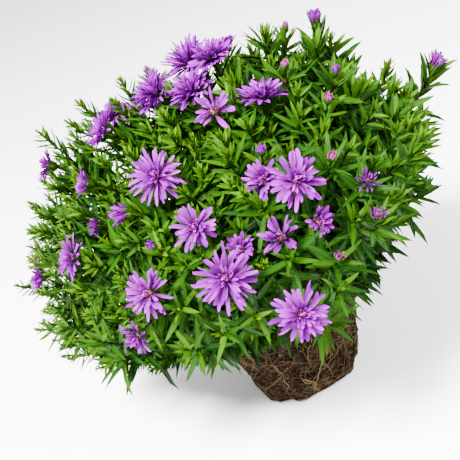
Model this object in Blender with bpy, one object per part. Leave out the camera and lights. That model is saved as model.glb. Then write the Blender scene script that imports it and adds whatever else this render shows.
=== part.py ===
"""A bushy double aster lifted out of its pot, standing on its own root ball.

Each leafy stem stands in a plain hole in the soil, forks into shoots, and carries leaves in turns
of three. Every flower head is a body of its own, seated on the calyx at the end of its shoot.
The origin is the middle of the root ball's flat base, +Z is up and -Y is the plant's front.
"""

import math

import bpy
import numpy as np
from mathutils import Vector
from mathutils.bvhtree import BVHTree
from mathutils.geometry import interpolate_bezier

MM = 0.001

# Root ball, moulded by the tapered pot that it grew in
BALL_HEIGHT = 86 * MM
BALL_RIM_RADIUS = 57 * MM
BALL_BASE_RADIUS = 44 * MM
BALL_FOOT_RADIUS = 36 * MM
BALL_SIDES = 34
BALL_ROWS = 7
ROOT_RELIEF = 2.8 * MM

# Stems and the holes that they stand in
STEM_COUNT = 20
STEM_RADIUS = 2.3 * MM
SHOOT_RADIUS = 1.5 * MM
TIP_RADIUS = 1.1 * MM
LONGEST_REACH = 34 * MM
ROOTED_DEPTH = 12 * MM
SEAT_GAP = 0.3 * MM
CROWN_RADIUS = 41 * MM
FORK_SHARES = (0.26, 0.34, 0.42)
BARE_TRUNK, BARE_TRUNK_SHARE = 34 * MM, 0.46
BARE_SHOOT, BARE_SHOOT_SHARE = 15 * MM, 0.16
TUFT_LENGTH = 13 * MM
BUD_LENGTH = 12 * MM

# Leaves
LEAF_LENGTH = 43 * MM
LEAF_WIDTH = 9 * MM
LEAF_THICKNESS = 0.8 * MM
LEAF_TURNS = [math.radians(angle) for angle in (36, 28, 20, 10)]
TURN_PITCH = 14.5 * MM
TURN_HEIGHT = 1.6 * MM
MOST_TURNS = 3
TRUNK_TURNS = 4
CLEARANCE = 0.9 * MM
LOWEST_LEAF = 12 * MM

# Flower heads
CALYX_RADIUS = 3.6 * MM
CALYX_HEIGHT = 5 * MM
PETAL_THICKNESS = 0.8 * MM
PETAL_WIDTH = 6 * MM
LEAST_LEAN = math.radians(9)
HEART_RADIUS = 3.4 * MM
HEART_HEIGHT = 3.2 * MM

# Outer face of the bush: how far the shoots reach from the crown
REACH = 166 * MM
SHOULDER = 20 * MM
LOW_CUT = 86 * MM
LOW_CUT_AZIMUTH = 25
LOWEST_SHOOT = 88
LEAFY_TIP_COUNT = 74
LEAFY_TIP_SPACING = math.radians(17)
SKIRT_COUNT = 11
SKIRT_START = 14
SKIRT_POLAR = 88
SKIRT_REACH = 104 * MM
SKIRT_LEAST = 80 * MM

# Open flower heads: azimuth from the front towards +X, angle down from straight up, reach from the
# crown in mm, diameter in mm, then the azimuth and angle that the head faces, and how far from its
# own axis the rays spread. All angles are in degrees.
BLOOMS = [
    (-30, 33, 180, 42, -15, 48, 82),
    (-16, 46, 178, 33, -8, 58, 72),
    (-10, 58, 184, 45, -10, 60, 84),
    (3, 69, 182, 40, 8, 66, 84),
    (15, 45, 184, 41, 12, 50, 80),
    (9, 39, 166, 32, -30, 50, 64),
    (17, 53, 168, 22, 25, 75, 46),
    (-30, 58, 182, 37, -25, 56, 78),
    (-37, 67, 172, 28, -45, 95, 62),
    (-58, 52, 184, 34, -60, 56, 74),
    (-79, 61, 184, 33, -80, 68, 62),
    (-99, 41, 200, 31, -90, 58, 58),
    (-68, 36, 182, 25, -80, 58, 44),
    (-87, 25, 186, 33, -77, 46, 66),
    (-117, 26, 184, 28, -60, 28, 66),
    (-143, 33, 178, 33, -40, 24, 70),
    (-105, 11, 181, 34, -80, 40, 74),
    (-177, 22, 188, 42, -32, 17, 72),
    (160, 25, 195, 26, 150, 15, 36),
    (1, 15, 172, 36, -5, 36, 76),
    (38, 19, 172, 33, 40, 8, 62),
    (-61, 44, 168, 20, -62, 60, 48),
    (6, 53, 168, 32, -25, 40, 54),
    (-6, 52, 160, 24, -5, 34, 48),
    (32, 52, 182, 20, 28, 48, 52),
    (29, 59, 180, 16, 30, 25, 28),
    (130, 70, 184, 38, 130, 66, 80),
    (153, 9, 186, 34, -20, 20, 70),
    (154, 76, 182, 38, 154, 70, 80),
    (168, 50, 184, 40, 168, 50, 82),
    (-174, 76, 182, 34, -174, 68, 78),
    (-150, 56, 182, 38, -150, 52, 80),
    (-164, 33, 176, 30, -40, 26, 70),
    (-43, 4, 174, 32, -60, 25, 70),
    (-126, 66, 184, 36, -126, 62, 78),
]

# Half-open heads whose colour already shows
OPENING = [
    (-39, 41, 180, 13, -75, 60, 18),
    (91, 53, 208, 14, 82, 35, 20),
    (108, 29, 206, 14, 112, 12, 12),
]

# Closed buds: azimuth, angle down from straight up, reach in mm
BUDS = [
    (-28, 49, 180),
    (15, 62, 180),
    (29, 44, 178),
    (120, 25, 198),
    (69, 20, 180),
    (67, 31, 184),
    (50, 33, 178),
    (12, 34, 172),
    (-151, 23, 194),
]

# Leafy tips that reach past the flowers on the plant's left
LEFT_TIPS = [
    (-94, 77, 188),
    (-83, 65, 202),
    (-110, 57, 200),
    (-58, 79, 150),
    (-124, 46, 198),
    (-92, 49, 204),
]

RANDOM = np.random.default_rng(2)


def clear_scene():
    for obj in list(bpy.data.objects):
        bpy.data.objects.remove(obj)


def material(name, colour, roughness):
    made = bpy.data.materials.new(name)
    made.use_nodes = True
    shader = made.node_tree.nodes["Principled BSDF"]
    shader.inputs["Base Color"].default_value = (*colour, 1)
    shader.inputs["Roughness"].default_value = roughness
    shader.inputs["Metallic"].default_value = 0
    return made


def direction(azimuth, polar):
    """Unit vector at an azimuth from the front and an angle down from straight up, in degrees."""
    a, p = math.radians(azimuth), math.radians(polar)
    return Vector((math.sin(p) * math.sin(a), -math.sin(p) * math.cos(a), math.cos(p)))


def crossways(along):
    """A unit vector square to along, level where it can be."""
    side = along.cross(Vector((0, 0, 1)))
    return (side if side.length > 0.1 else along.cross(Vector((0, 1, 0)))).normalized()


def carried(side, along):
    """The vector side, kept square to a new direction without turning about it."""
    return (side - along * side.dot(along)).normalized()


def ring(centre, along, side, radius, turn, corners=3):
    """Corners round the centre, counted anticlockwise as seen from the end that along points to."""
    other = along.cross(side)
    angles = [turn + k * math.tau / corners for k in range(corners)]
    return [centre + (side * math.cos(a) + other * math.sin(a)) * radius for a in angles]


class Body:
    """A closed surface that grows: its faces are pushed out to new corners, or drawn to a point."""

    def __init__(self, base):
        self.points = list(base)
        first = tuple(range(len(base)))
        self.faces = [tuple(reversed(first)), first]

    def grow(self, face, corners):
        """Moves a face out to new corners, and returns the walls left behind it."""
        old = self.faces[face]
        new = tuple(range(len(self.points), len(self.points) + len(old)))
        self.points += corners
        self.faces[face] = new
        walls = []
        for k in range(len(old)):
            after = (k + 1) % len(old)
            wall = (old[k], old[after], new[after], new[k])
            walls.append(len(self.faces))
            self.faces.append(wall if len(old) != 4 or k < 2 else wall[1:] + wall[:1])
        return walls

    def triangles(self):
        """The faces with four corners split in two, alike on both faces of a blade."""
        split = []
        for face in self.faces:
            split += [face[:3], (face[0], face[2], face[3])] if len(face) == 4 else [face]
        return split

    def draw_to(self, face, tip):
        """Closes a face to a point."""
        old = self.faces[face]
        self.points.append(tip)
        last = len(self.points) - 1
        fan = [(old[k], old[(k + 1) % len(old)], last) for k in range(len(old))]
        self.faces[face] = fan[0]
        self.faces += fan[1:]

    def draw_to_edge(self, face, left, right):
        """Closes a four-cornered face to a straight edge, like the end of a chisel."""
        a, b, c, d = self.faces[face]
        first, last = len(self.points), len(self.points) + 1
        self.points += [left, right]
        self.faces[face] = (a, b, last, first)
        self.faces += [(b, c, last), (c, d, first, last), (d, a, first)]

    def corners(self, face):
        return [self.points[k] for k in self.faces[face]]

    def crosses_itself(self):
        """Whether any two faces meet away from a corner that they share."""
        faces = self.triangles()
        tree = BVHTree.FromPolygons(self.points, faces)
        return any(not set(faces[a]) & set(faces[b]) for a, b in tree.overlap(tree))

    def made(self, name, look):
        mesh = bpy.data.meshes.new(name)
        mesh.from_pydata([tuple(p) for p in self.points], [], self.triangles())
        mesh.validate()
        mesh.materials.append(look)
        obj = bpy.data.objects.new(name, mesh)
        bpy.context.scene.collection.objects.link(obj)
        return obj


class Obstacles:
    """What is already in the bush, so that nothing new crosses it."""

    def __init__(self, most=9000):
        self.trees, self.owners = [], []
        self.lows, self.highs = np.zeros((most, 3)), np.zeros((most, 3))

    def add(self, corners, faces, owner):
        points = np.array([tuple(c) for c in corners])
        self.lows[len(self.trees)] = points.min(axis=0)
        self.highs[len(self.trees)] = points.max(axis=0)
        self.trees.append(BVHTree.FromPolygons(points.tolist(), faces))
        self.owners.append(owner)

    def add_object(self, obj):
        corners = [v.co for v in obj.data.vertices]
        self.add(corners, [tuple(p.vertices) for p in obj.data.polygons], obj.name)

    def hit(self, corners, faces, besides):
        """Whether a closed shape crosses anything, apart from what has a name starting like besides."""
        points = np.array([tuple(c) for c in corners])
        low, high, count = points.min(axis=0), points.max(axis=0), len(self.trees)
        near = np.all((self.lows[:count] <= high) & (self.highs[:count] >= low), axis=1)
        tree = BVHTree.FromPolygons(points.tolist(), faces)
        return any(not self.owners[k].startswith(besides) and tree.overlap(self.trees[k])
                   for k in np.flatnonzero(near))


BLADE_FACES = [(0, 3, 2, 1), (0, 1, 5, 4), (1, 2, 6, 5), (2, 3, 7, 6), (3, 0, 4, 7),
               (4, 5, 8), (5, 6, 8), (6, 7, 8), (7, 4, 8)]
TUBE_FACES = [(0, 1, 4, 3), (1, 2, 5, 4), (2, 0, 3, 5), (2, 1, 0), (3, 4, 5)]


def section(centre, side, upward, width, thickness):
    """The four corners of a blade across its length, in the order of the face that it grows from."""
    return [centre + side * x * width / 2 + upward * z * thickness / 2
            for x, z in ((-1, -1), (1, -1), (1, 1), (-1, 1))]


class Blade:
    """An arched leaf or petal: a foot, its widest place, and its end."""

    def __init__(self, root, along, out, lean, length, width, thickness, widest=0.42, arch=0.35):
        self.root, self.along, self.out = root, along, out
        self.side = along.cross(out).normalized()
        self.width, self.thickness = width, thickness
        self.first = along * math.cos(lean) + out * math.sin(lean)
        self.second = along * math.cos(lean + arch) + out * math.sin(lean + arch)
        self.middle = root + self.first * length * widest
        self.tip = self.middle + self.second * length * (1 - widest)
        half = lean + arch / 2
        self.upward = along * math.sin(half) - out * math.cos(half)

    def widest(self, more=0.0):
        return section(self.middle, self.side, self.upward, self.width + more, self.thickness + more)

    def envelope(self, room):
        """A closed shape round the blade, larger than it by room on every side."""
        foot = section(self.root + self.first * MM, self.side, self.upward,
                       self.width * 0.3 + 2 * room, self.thickness + 2 * room)
        return [*foot, *self.widest(2 * room), self.tip + self.second * room]


def leaf_on(body, wall, along, lean, length, width, obstacles, own):
    """Grows a leaf from one wall of a stem, if it can stay clear of all but its own piece of stem."""
    corners = body.corners(wall)
    root = sum(corners, Vector()) / 4
    out = carried((corners[1] - corners[0]).cross(along), along)
    for trial in range(12):
        shorter = (1, 0.82, 0.64, 0.5)[trial // 3]
        bent = lean + math.radians((0, 15, -15)[trial % 3])
        blade = Blade(root, along, out, bent, length * shorter, width * (0.4 + 0.6 * shorter),
                      LEAF_THICKNESS)
        shape = blade.envelope(CLEARANCE)
        if min(p.z for p in shape) < LOWEST_LEAF or obstacles.hit(shape, BLADE_FACES, own):
            continue
        before = list(body.points), list(body.faces)
        body.grow(wall, blade.widest())
        body.draw_to(wall, blade.tip)
        if not body.crosses_itself():
            obstacles.add([*corners, *blade.widest(), blade.tip], BLADE_FACES, "leaf")
            return
        body.points, body.faces = before


class Shoot:
    """One line of growth: its path bends from its start to its end, and ends straight.

    It is bare up to one distance, where it only bends, and bears turns of leaves from there on.
    """

    def __init__(self, name, kind, start, leaving, end, facing, rooted=None):
        self.name, self.kind = name, kind
        neck = end - facing * (CALYX_HEIGHT + 1.5 * MM)
        span = (neck - start).length
        points = interpolate_bezier(start, start + leaving * span * 0.34, neck - facing * span * 0.2,
                                    neck, 41)
        self.points = ([rooted] if rooted else []) + points + [end]
        steps = [(b - a).length for a, b in zip(self.points, self.points[1:])]
        self.along = np.concatenate([[0], np.cumsum(steps)])
        self.length = float(self.along[-1])
        self.top = self.length - (CALYX_HEIGHT if kind in ("bloom", "opening") else 0)
        if rooted:
            self.bare = max(BARE_TRUNK, self.length * BARE_TRUNK_SHARE)
        else:
            self.bare = max(BARE_SHOOT, self.length * BARE_SHOOT_SHARE)
        self.turns = self.leaf_turns(TRUNK_TURNS if rooted else MOST_TURNS)
        fixed = [ROOTED_DEPTH + 3.5 * MM] if rooted else []
        fixed += [self.length * x for x in FORK_SHARES if rooted and self.length * x > 2 * ROOTED_DEPTH]
        self.bends = []
        for distance in fixed + [(self.turns + [self.top])[0]]:
            before = (self.bends or [0])[-1]
            between = int((distance - before) / LONGEST_REACH)
            self.bends += list(np.linspace(before, distance, between + 2)[1:])
        self.bends.pop()

    def leaf_turns(self, most):
        last = self.top - 6 * MM
        room = last - self.bare
        count = min(most, int(room / TURN_PITCH) + 1) if room > 0 else 0
        pitch = min(1.6 * TURN_PITCH, room / (count - 1)) if count > 1 else 0
        return [last - pitch * (count - 1 - k) for k in range(count)]

    def at(self, distance):
        """The point and the direction at a distance along the path."""
        k = int(np.clip(np.searchsorted(self.along, distance) - 1, 0, len(self.points) - 2))
        a, b = self.points[k], self.points[k + 1]
        share = (distance - self.along[k]) / (self.along[k + 1] - self.along[k])
        return a.lerp(b, share), (b - a).normalized()

    def frames(self):
        """The point, direction and side at the foot, each bend, each turn and the top, untwisted."""
        found = []
        for distance in [0, *self.bends, *self.turns, self.top]:
            centre, along = self.at(distance)
            if found:
                side = found[-1][1].rotation_difference(along) @ found[-1][2]
            else:
                side = crossways(along)
            found.append((centre, along, side))
        return found

    def pieces(self, radius):
        """The stem's straight pieces, as closed tubes of one radius."""
        frames = self.frames()
        tubes = []
        for (low, _, _), (high, _, _) in zip(frames, frames[1:]):
            along = (high - low).normalized()
            side = crossways(along)
            tubes.append([*ring(low, along, side, radius, 0), *ring(high, along, side, radius, 0)])
        return tubes


def grow_shoot(shoot, foot_radius, turn, leaf_turn):
    """Extrudes a three-sided stem along its path; returns it with the walls that may bear leaves.

    Each turn of leaves stands leaf_turn further round than the one below.
    """
    frames = shoot.frames()
    body = Body(ring(*frames[0], foot_radius, turn))
    cap = 1
    bare = 1 + len(shoot.bends)
    for frame in frames[1:bare]:
        body.grow(cap, ring(*frame, foot_radius, turn))
    sites = []
    for k, (centre, along, side) in enumerate(frames[bare:-1]):
        share = (shoot.turns[k] - shoot.bare) / (shoot.top - shoot.bare)
        radius = SHOOT_RADIUS + (TIP_RADIUS - SHOOT_RADIUS) * share
        turn += leaf_turn
        body.grow(cap, ring(centre, along, side, radius, turn))
        walls = body.grow(cap, ring(centre + along * TURN_HEIGHT, along, side, radius, turn))
        own = tuple(f"{shoot.name}.{piece}|" for piece in (bare + k - 1, bare + k, "end"))
        sites.append((walls, along, share, own))
    finish_shoot(body, cap, shoot.kind, frames[-1], turn)
    return body, sites


def finish_shoot(body, cap, kind, frame, turn):
    """Ends the shoot in a calyx with a flat seat, a closed bud, or the folded leaves of a tip."""
    centre, along, side = frame
    body.grow(cap, ring(centre, along, side, TIP_RADIUS * 1.2, turn))
    profile, point = {
        "bloom": ([(CALYX_RADIUS, CALYX_HEIGHT)], None),
        "opening": ([(CALYX_RADIUS, CALYX_HEIGHT)], None),
        "bud": ([(3.8 * MM, 3.5 * MM), (3.2 * MM, 9 * MM)], BUD_LENGTH),
        "leafy": ([(2.0 * MM, 4 * MM)], TUFT_LENGTH),
    }[kind]
    for radius, height in profile:
        body.grow(cap, ring(centre + along * height, along, side, radius, turn))
    if point:
        body.draw_to(cap, centre + along * point)


def root_ball(look):
    """The soil with its net of roots: a tapered turned block, its side raised by crossing waves."""
    profile = [(BALL_FOOT_RADIUS, 0), (BALL_BASE_RADIUS - 3 * MM, 2.5 * MM),
               (BALL_BASE_RADIUS, 8 * MM)]
    for k in range(1, BALL_ROWS + 1):
        share = k / BALL_ROWS
        radius = BALL_BASE_RADIUS + (BALL_RIM_RADIUS - BALL_BASE_RADIUS) * share
        profile.append((radius, 8 * MM + (BALL_HEIGHT - 14 * MM) * share))
    profile += [(BALL_RIM_RADIUS - 2 * MM, BALL_HEIGHT - 2 * MM), (BALL_RIM_RADIUS * 0.87, BALL_HEIGHT)]
    up, side = Vector((0, 0, 1)), Vector((1, 0, 0))
    rings = [[raised(p) for p in ring(up * height, up, side, radius, 0, BALL_SIDES)]
             for radius, height in profile]
    body = Body(rings[0])
    for corners in rings[1:]:
        body.grow(1, corners)
    ball = body.made("root_ball", look)
    for polygon in ball.data.polygons:
        polygon.use_smooth = True
    return ball


def raised(place):
    """Moves a point of the ball's side in or out: roots wander down it and cross each other."""
    radius = math.hypot(place.x, place.y)
    if place.z < 1 * MM or place.z > BALL_HEIGHT - 1 * MM:
        return place
    angle = math.atan2(place.y, place.x)
    height = place.z / BALL_HEIGHT
    first = abs(math.sin(4 * angle + 4.2 * height + 0.8 * math.sin(3 * angle)))
    second = abs(math.sin(3.5 * angle - 5.1 * height + 0.6 * math.sin(4 * angle + 2)))
    slump = 1.6 * math.sin(2 * angle + 0.7) + 1.1 * math.sin(3 * angle + 2.1)
    away = ROOT_RELIEF * (1 - 1.6 * min(first, second)) + slump * MM * (0.4 + 0.6 * height)
    scale = (radius + away) / radius
    return Vector((place.x * scale, place.y * scale, place.z))


def bore_holes(ball, feet):
    """Cuts one plain hole in the soil for each stem, a seat gap wider than the stem all round."""
    cutters = bpy.data.collections.new("stem_holes")
    bpy.context.scene.collection.children.link(cutters)
    reach = (STEM_RADIUS + SEAT_GAP) / math.cos(math.pi / 6)
    for k, foot in enumerate(feet):
        low, high = (foot + Vector((0, 0, z + BALL_HEIGHT)) for z in (-ROOTED_DEPTH, ROOTED_DEPTH))
        up, side = Vector((0, 0, 1)), Vector((1, 0, 0))
        cutter = Body(ring(low, up, side, reach, 0, 6))
        cutter.grow(1, ring(high, up, side, reach, 0, 6))
        hole = cutter.made(f"hole_{k + 1:02d}", ball.data.materials[0])
        bpy.context.scene.collection.objects.unlink(hole)
        cutters.objects.link(hole)
    cut = ball.modifiers.new("holes", "BOOLEAN")
    cut.operation = "DIFFERENCE"
    cut.operand_type = "COLLECTION"
    cut.collection = cutters
    apply_modifiers(ball)
    remove_collection(cutters)


def apply_modifiers(obj):
    graph = bpy.context.evaluated_depsgraph_get()
    graph.update()
    made = bpy.data.meshes.new_from_object(obj.evaluated_get(graph))
    obj.modifiers.clear()
    obj.data = made


def remove_collection(collection):
    for obj in list(collection.objects):
        bpy.data.objects.remove(obj)
    bpy.data.collections.remove(collection)


def bloom(name, seat, facing, diameter, spread, look):
    """A double head: a low heart with a ring of long rays and a ring of short, steeper ones."""
    rays = 8 if diameter > 24 * MM else 7 if diameter > 18 * MM else 5
    side = crossways(facing)
    turn = RANDOM.uniform(0, math.tau)
    heart = [(HEART_RADIUS, 0), (HEART_RADIUS, HEART_HEIGHT * 0.42), (HEART_RADIUS * 0.7, HEART_HEIGHT)]
    rings = [ring(seat + facing * z, facing, side, r, turn, rays) for r, z in heart]
    body = Body(rings[0])
    rows = [body.grow(1, corners) for corners in rings[1:]]
    length = diameter / 2 - HEART_RADIUS
    spacing = math.tau * (HEART_RADIUS + 0.6 * length * math.sin(spread)) / rays
    layers = ((rows[0], 1, 0, 0.82, 0.25), (rows[1][::2], 0.66, 0.5, 1.2, 0))
    for row, share, steeper, wide, arch in layers:
        for wall in row:
            root = sum(body.corners(wall), Vector()) / 4
            out = carried(root - seat, facing)
            lean = max(LEAST_LEAN, spread * (1 - steeper) + RANDOM.uniform(-0.06, 0.06))
            petal = Blade(root, facing, out, lean, length * share * RANDOM.uniform(0.9, 1.06),
                          min(PETAL_WIDTH, spacing * wide), PETAL_THICKNESS, 0.62, arch)
            half = petal.side * petal.width * 0.27
            if row is rows[0]:
                body.grow(wall, petal.widest())
            body.draw_to_edge(wall, petal.tip - half, petal.tip + half)
    return body.made(name, look)


def place_blooms(tips, look, obstacles):
    """Sets every flower head just clear of the calyx that will hold it."""
    for kind, label in (("bloom", "bloom"), ("opening", "opening_bud")):
        for k, (_, aim, reach, facing, size, spread) in enumerate(t for t in tips if t[0] == kind):
            seat = Vector((0, 0, BALL_HEIGHT)) + aim * reach + facing * SEAT_GAP
            obstacles.add_object(bloom(f"{label}_{k + 1:02d}", seat, facing, size, spread, look))


def reach_at(azimuth, polar):
    """How far a leafy shoot reaches: full shoulders all round, drawn in low at the front."""
    shoulder = SHOULDER * math.exp(-((polar - 62) / 22) ** 2)
    turned = math.radians((azimuth - LOW_CUT_AZIMUTH + 180) % 360 - 180)
    drawn_in = max(0, math.cos(min(math.pi / 2, abs(turned) * 0.75))) ** 0.8
    left = 1 + 0.04 * math.cos(math.radians(azimuth + 100))
    return (REACH + shoulder) * left - LOW_CUT * drawn_in * min(1.2, max(0, (polar - 52) / 30))


def leafy_tips(taken):
    """A skirt of short shoots over the rim, then leafy tips wherever there is no flower or bud."""
    golden = 180 * (3 - math.sqrt(5))
    lowest = math.cos(math.radians(LOWEST_SHOOT))
    skirt = []
    for k in range(SKIRT_COUNT):
        azimuth = SKIRT_START + k * 360 / SKIRT_COUNT
        reach = min(SKIRT_REACH, max(SKIRT_LEAST, reach_at(azimuth, SKIRT_POLAR)))
        skirt.append((direction(azimuth, SKIRT_POLAR), reach))
    found = [(direction(azimuth, polar), reach * MM) for azimuth, polar, reach in LEFT_TIPS]
    for k in range(LEAFY_TIP_COUNT):
        polar = math.degrees(math.acos(1 - (1 - lowest) * (k + 0.5) / LEAFY_TIP_COUNT))
        reach = reach_at(k * golden, polar)
        aim = direction(k * golden, polar)
        near = taken + [t[0] for t in found]
        if reach > SKIRT_REACH * 1.1 and all(aim.angle(other) > LEAFY_TIP_SPACING for other in near):
            found.append((aim, reach * RANDOM.uniform(0.94, 1.03)))
    return skirt + found


def all_tips():
    """Every shoot's end: (kind, aim from the crown, reach, facing, bloom size and spread)."""
    tips = []
    for kind, rows in (("bloom", BLOOMS), ("opening", OPENING)):
        for azimuth, polar, reach, size, facing_azimuth, facing_polar, spread in rows:
            tips.append((kind, direction(azimuth, polar), reach * MM,
                         direction(facing_azimuth, facing_polar), size * MM, math.radians(spread)))
    for azimuth, polar, reach in BUDS:
        tips.append(("bud", direction(azimuth, polar), reach * MM,
                     direction(azimuth, polar * 0.8), 0, 0))
    for aim, reach in leafy_tips([t[1] for t in tips]):
        upward = (aim + Vector((0, 0, 0.25))).normalized()
        tips.append(("leafy", aim, reach, upward, 0, 0))
    return tips


def shared_out(tips):
    """Gives each tip to one of the stems: the stems' aims settle at the middle of their tips."""
    aims = np.array([tuple(t[1]) for t in tips])
    middles = aims[:1]
    while len(middles) < STEM_COUNT:
        furthest = (aims @ middles.T).max(axis=1).argmin()
        middles = np.concatenate([middles, aims[furthest:furthest + 1]])
    for _ in range(12):
        nearest = (aims @ middles.T).argmax(axis=1)
        for k in range(STEM_COUNT):
            if (nearest == k).any():
                mean = aims[nearest == k].mean(axis=0)
                middles[k] = mean / np.linalg.norm(mean)
    return nearest, middles


def foot_of(middle):
    """Where a stem stands in the soil: nearer the rim the lower its shoots hang."""
    polar = math.degrees(math.acos(max(-1, min(1, middle[2]))))
    level = Vector((middle[0], middle[1], 0)).normalized()
    return level * CROWN_RADIUS * min(1, polar / 92)


def route(name, start, leaving, tip, obstacles, rooted=None):
    """A shoot's path to its tip, swung aside where it would cross another stem or a flower."""
    end = Vector((0, 0, BALL_HEIGHT)) + tip[1] * tip[2]
    side = crossways(leaving)
    other = leaving.cross(side)
    best = None
    for trial in range(25):
        swing = 0.22 * ((trial + 7) // 8)
        angle = trial * math.tau / 8
        swung = leaving + (side * math.cos(angle) + other * math.sin(angle)) * (swing if trial else 0)
        shoot = Shoot(name, tip[0], start, swung.normalized(), end, tip[3], rooted)
        pieces = shoot.pieces(STEM_RADIUS + CLEARANCE)[1 if rooted else 0:]
        crossed = sum(obstacles.hit(piece, TUBE_FACES, name[:-1]) for piece in pieces)
        if best is None or crossed < best[0]:
            best = (crossed, shoot)
        if not crossed:
            break
    return best[1]


def stem_paths(name, tips, middle, obstacles):
    """The leader's path from the soil, and those of the side shoots that fork from it."""
    foot = foot_of(middle) + Vector((0, 0, BALL_HEIGHT))
    leader = max(tips, key=lambda t: t[1].dot(Vector(middle)))
    paths = []
    for rank, tip in enumerate([leader] + [t for t in tips if t is not leader]):
        label = f"{name}_{'abcdefgh'[rank]}"
        if rank == 0:
            leaving = (Vector((0, 0, 1)) * 0.8 + tip[1] * 0.5).normalized()
            shoot = route(label, foot + Vector((0, 0, 4 * MM)), leaving, tip, obstacles,
                          foot - Vector((0, 0, ROOTED_DEPTH - SEAT_GAP)))
        else:
            trunk = paths[0]
            fork, along = trunk.at(trunk.length * FORK_SHARES[-(rank % 3)])
            end = Vector((0, 0, BALL_HEIGHT)) + tip[1] * tip[2]
            leaving = (along * 0.45 + (end - fork).normalized() * 0.55).normalized()
            shoot = route(label, fork, leaving, tip, obstacles)
        block_off(shoot, obstacles)
        paths.append(shoot)
    return paths


def block_off(shoot, obstacles):
    """Puts a shoot's stem and the calyx, bud or leaf tuft at its end among the obstacles."""
    for k, corners in enumerate(shoot.pieces(STEM_RADIUS)):
        obstacles.add(corners, TUBE_FACES, f"{shoot.name}.{k}|")
    centre, along = shoot.at(shoot.top)
    height = CALYX_HEIGHT if shoot.top < shoot.length else TUFT_LENGTH
    side = crossways(along)
    ends = [ring(centre + along * z, along, side, CALYX_RADIUS * 1.3, 0) for z in (0, height)]
    obstacles.add(ends[0] + ends[1], TUBE_FACES, f"{shoot.name}.end|")


def build_stem(name, paths, obstacles, look):
    """One leafy stem: its shoots are grown one by one and joined where they fork."""
    parts = bpy.data.collections.new(name + "_shoots")
    bpy.context.scene.collection.children.link(parts)
    for shoot in paths:
        radius = STEM_RADIUS if shoot is paths[0] else SHOOT_RADIUS * 1.15
        turn = RANDOM.uniform(0, 1)
        for leaf_turn in LEAF_TURNS:
            body, sites = grow_shoot(shoot, radius, turn, leaf_turn)
            if not body.crosses_itself():
                break
        for walls, along, share, own in sites:
            for wall in walls:
                length = LEAF_LENGTH * (1.08 - 0.38 * share) * RANDOM.uniform(0.86, 1.1)
                lean = math.radians(66 - 22 * share + RANDOM.uniform(-8, 8))
                width = LEAF_WIDTH * (1.08 - 0.3 * share)
                leaf_on(body, wall, along, lean, length, width, obstacles, own)
        made = body.made(shoot.name, look)
        bpy.context.scene.collection.objects.unlink(made)
        parts.objects.link(made)
    joined = list(parts.objects)[0]
    parts.objects.unlink(joined)
    bpy.context.scene.collection.objects.link(joined)
    joined.name = name
    if len(parts.objects):
        union = joined.modifiers.new("forks", "BOOLEAN")
        union.operation = "UNION"
        union.operand_type = "COLLECTION"
        union.solver = "MANIFOLD"
        union.collection = parts
        apply_modifiers(joined)
    remove_collection(parts)
    return joined


def main():
    clear_scene()
    soil = material("soil", (0.115, 0.07, 0.042), 0.95)
    leaf = material("leaf", (0.13, 0.3, 0.045), 0.5)
    petal = material("petal", (0.5, 0.13, 0.62), 0.55)

    tips = all_tips()
    obstacles = Obstacles()
    place_blooms(tips, petal, obstacles)
    ball = root_ball(soil)
    obstacles.add_object(ball)

    nearest, middles = shared_out(tips)
    stems = []
    for k in range(STEM_COUNT):
        mine = [tip for tip, owner in zip(tips, nearest) if owner == k]
        if mine:
            stems.append((f"leafy_stem_{len(stems) + 1:02d}", mine, middles[k]))
    bore_holes(ball, [foot_of(middle) for _, _, middle in stems])
    paths = {name: stem_paths(name, mine, middle, obstacles) for name, mine, middle in stems}
    for name in paths:
        build_stem(name, paths[name], obstacles, leaf)


main()
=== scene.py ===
"""A bushy double aster on its bare root ball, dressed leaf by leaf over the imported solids.

Every shoot, leaf, ray and root is a surface worked out with numpy from the plant's named sizes.
The origin is the middle of the root ball's flat base, +Z is up and -Y is the plant's front.
"""

import math

import bpy
import numpy as np
from mathutils import Matrix, Vector


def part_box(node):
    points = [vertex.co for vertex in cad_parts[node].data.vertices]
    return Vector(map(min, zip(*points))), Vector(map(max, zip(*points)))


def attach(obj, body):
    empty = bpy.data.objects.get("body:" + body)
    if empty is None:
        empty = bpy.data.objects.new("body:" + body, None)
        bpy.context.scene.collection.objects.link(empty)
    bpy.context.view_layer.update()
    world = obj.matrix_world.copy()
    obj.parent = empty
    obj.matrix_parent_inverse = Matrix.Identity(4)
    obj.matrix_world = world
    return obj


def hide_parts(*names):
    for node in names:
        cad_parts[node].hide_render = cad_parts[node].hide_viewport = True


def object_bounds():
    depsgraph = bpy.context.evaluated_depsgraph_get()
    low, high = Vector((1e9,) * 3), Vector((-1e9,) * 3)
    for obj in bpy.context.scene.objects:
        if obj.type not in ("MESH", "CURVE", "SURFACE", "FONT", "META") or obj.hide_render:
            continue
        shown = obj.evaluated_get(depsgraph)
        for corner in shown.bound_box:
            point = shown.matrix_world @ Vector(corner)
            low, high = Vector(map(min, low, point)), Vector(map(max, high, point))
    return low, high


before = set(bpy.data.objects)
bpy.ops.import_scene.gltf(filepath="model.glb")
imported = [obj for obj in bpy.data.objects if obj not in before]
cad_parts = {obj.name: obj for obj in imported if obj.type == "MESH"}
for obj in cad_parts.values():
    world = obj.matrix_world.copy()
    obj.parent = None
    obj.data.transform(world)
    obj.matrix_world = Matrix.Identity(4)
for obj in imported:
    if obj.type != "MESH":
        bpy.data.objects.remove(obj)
CAD_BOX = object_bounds()

bl_info = {
    "name": "Double aster",
    "version": (1, 0, 0),
    "blender": (4, 5, 0),
    "location": "3D View > Sidebar > Aster",
    "description": "Grows a double aster with its root ball, leaf by leaf",
    "category": "Object",
}

MM = 0.001
GOLDEN = math.pi * (3 - math.sqrt(5))

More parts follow.
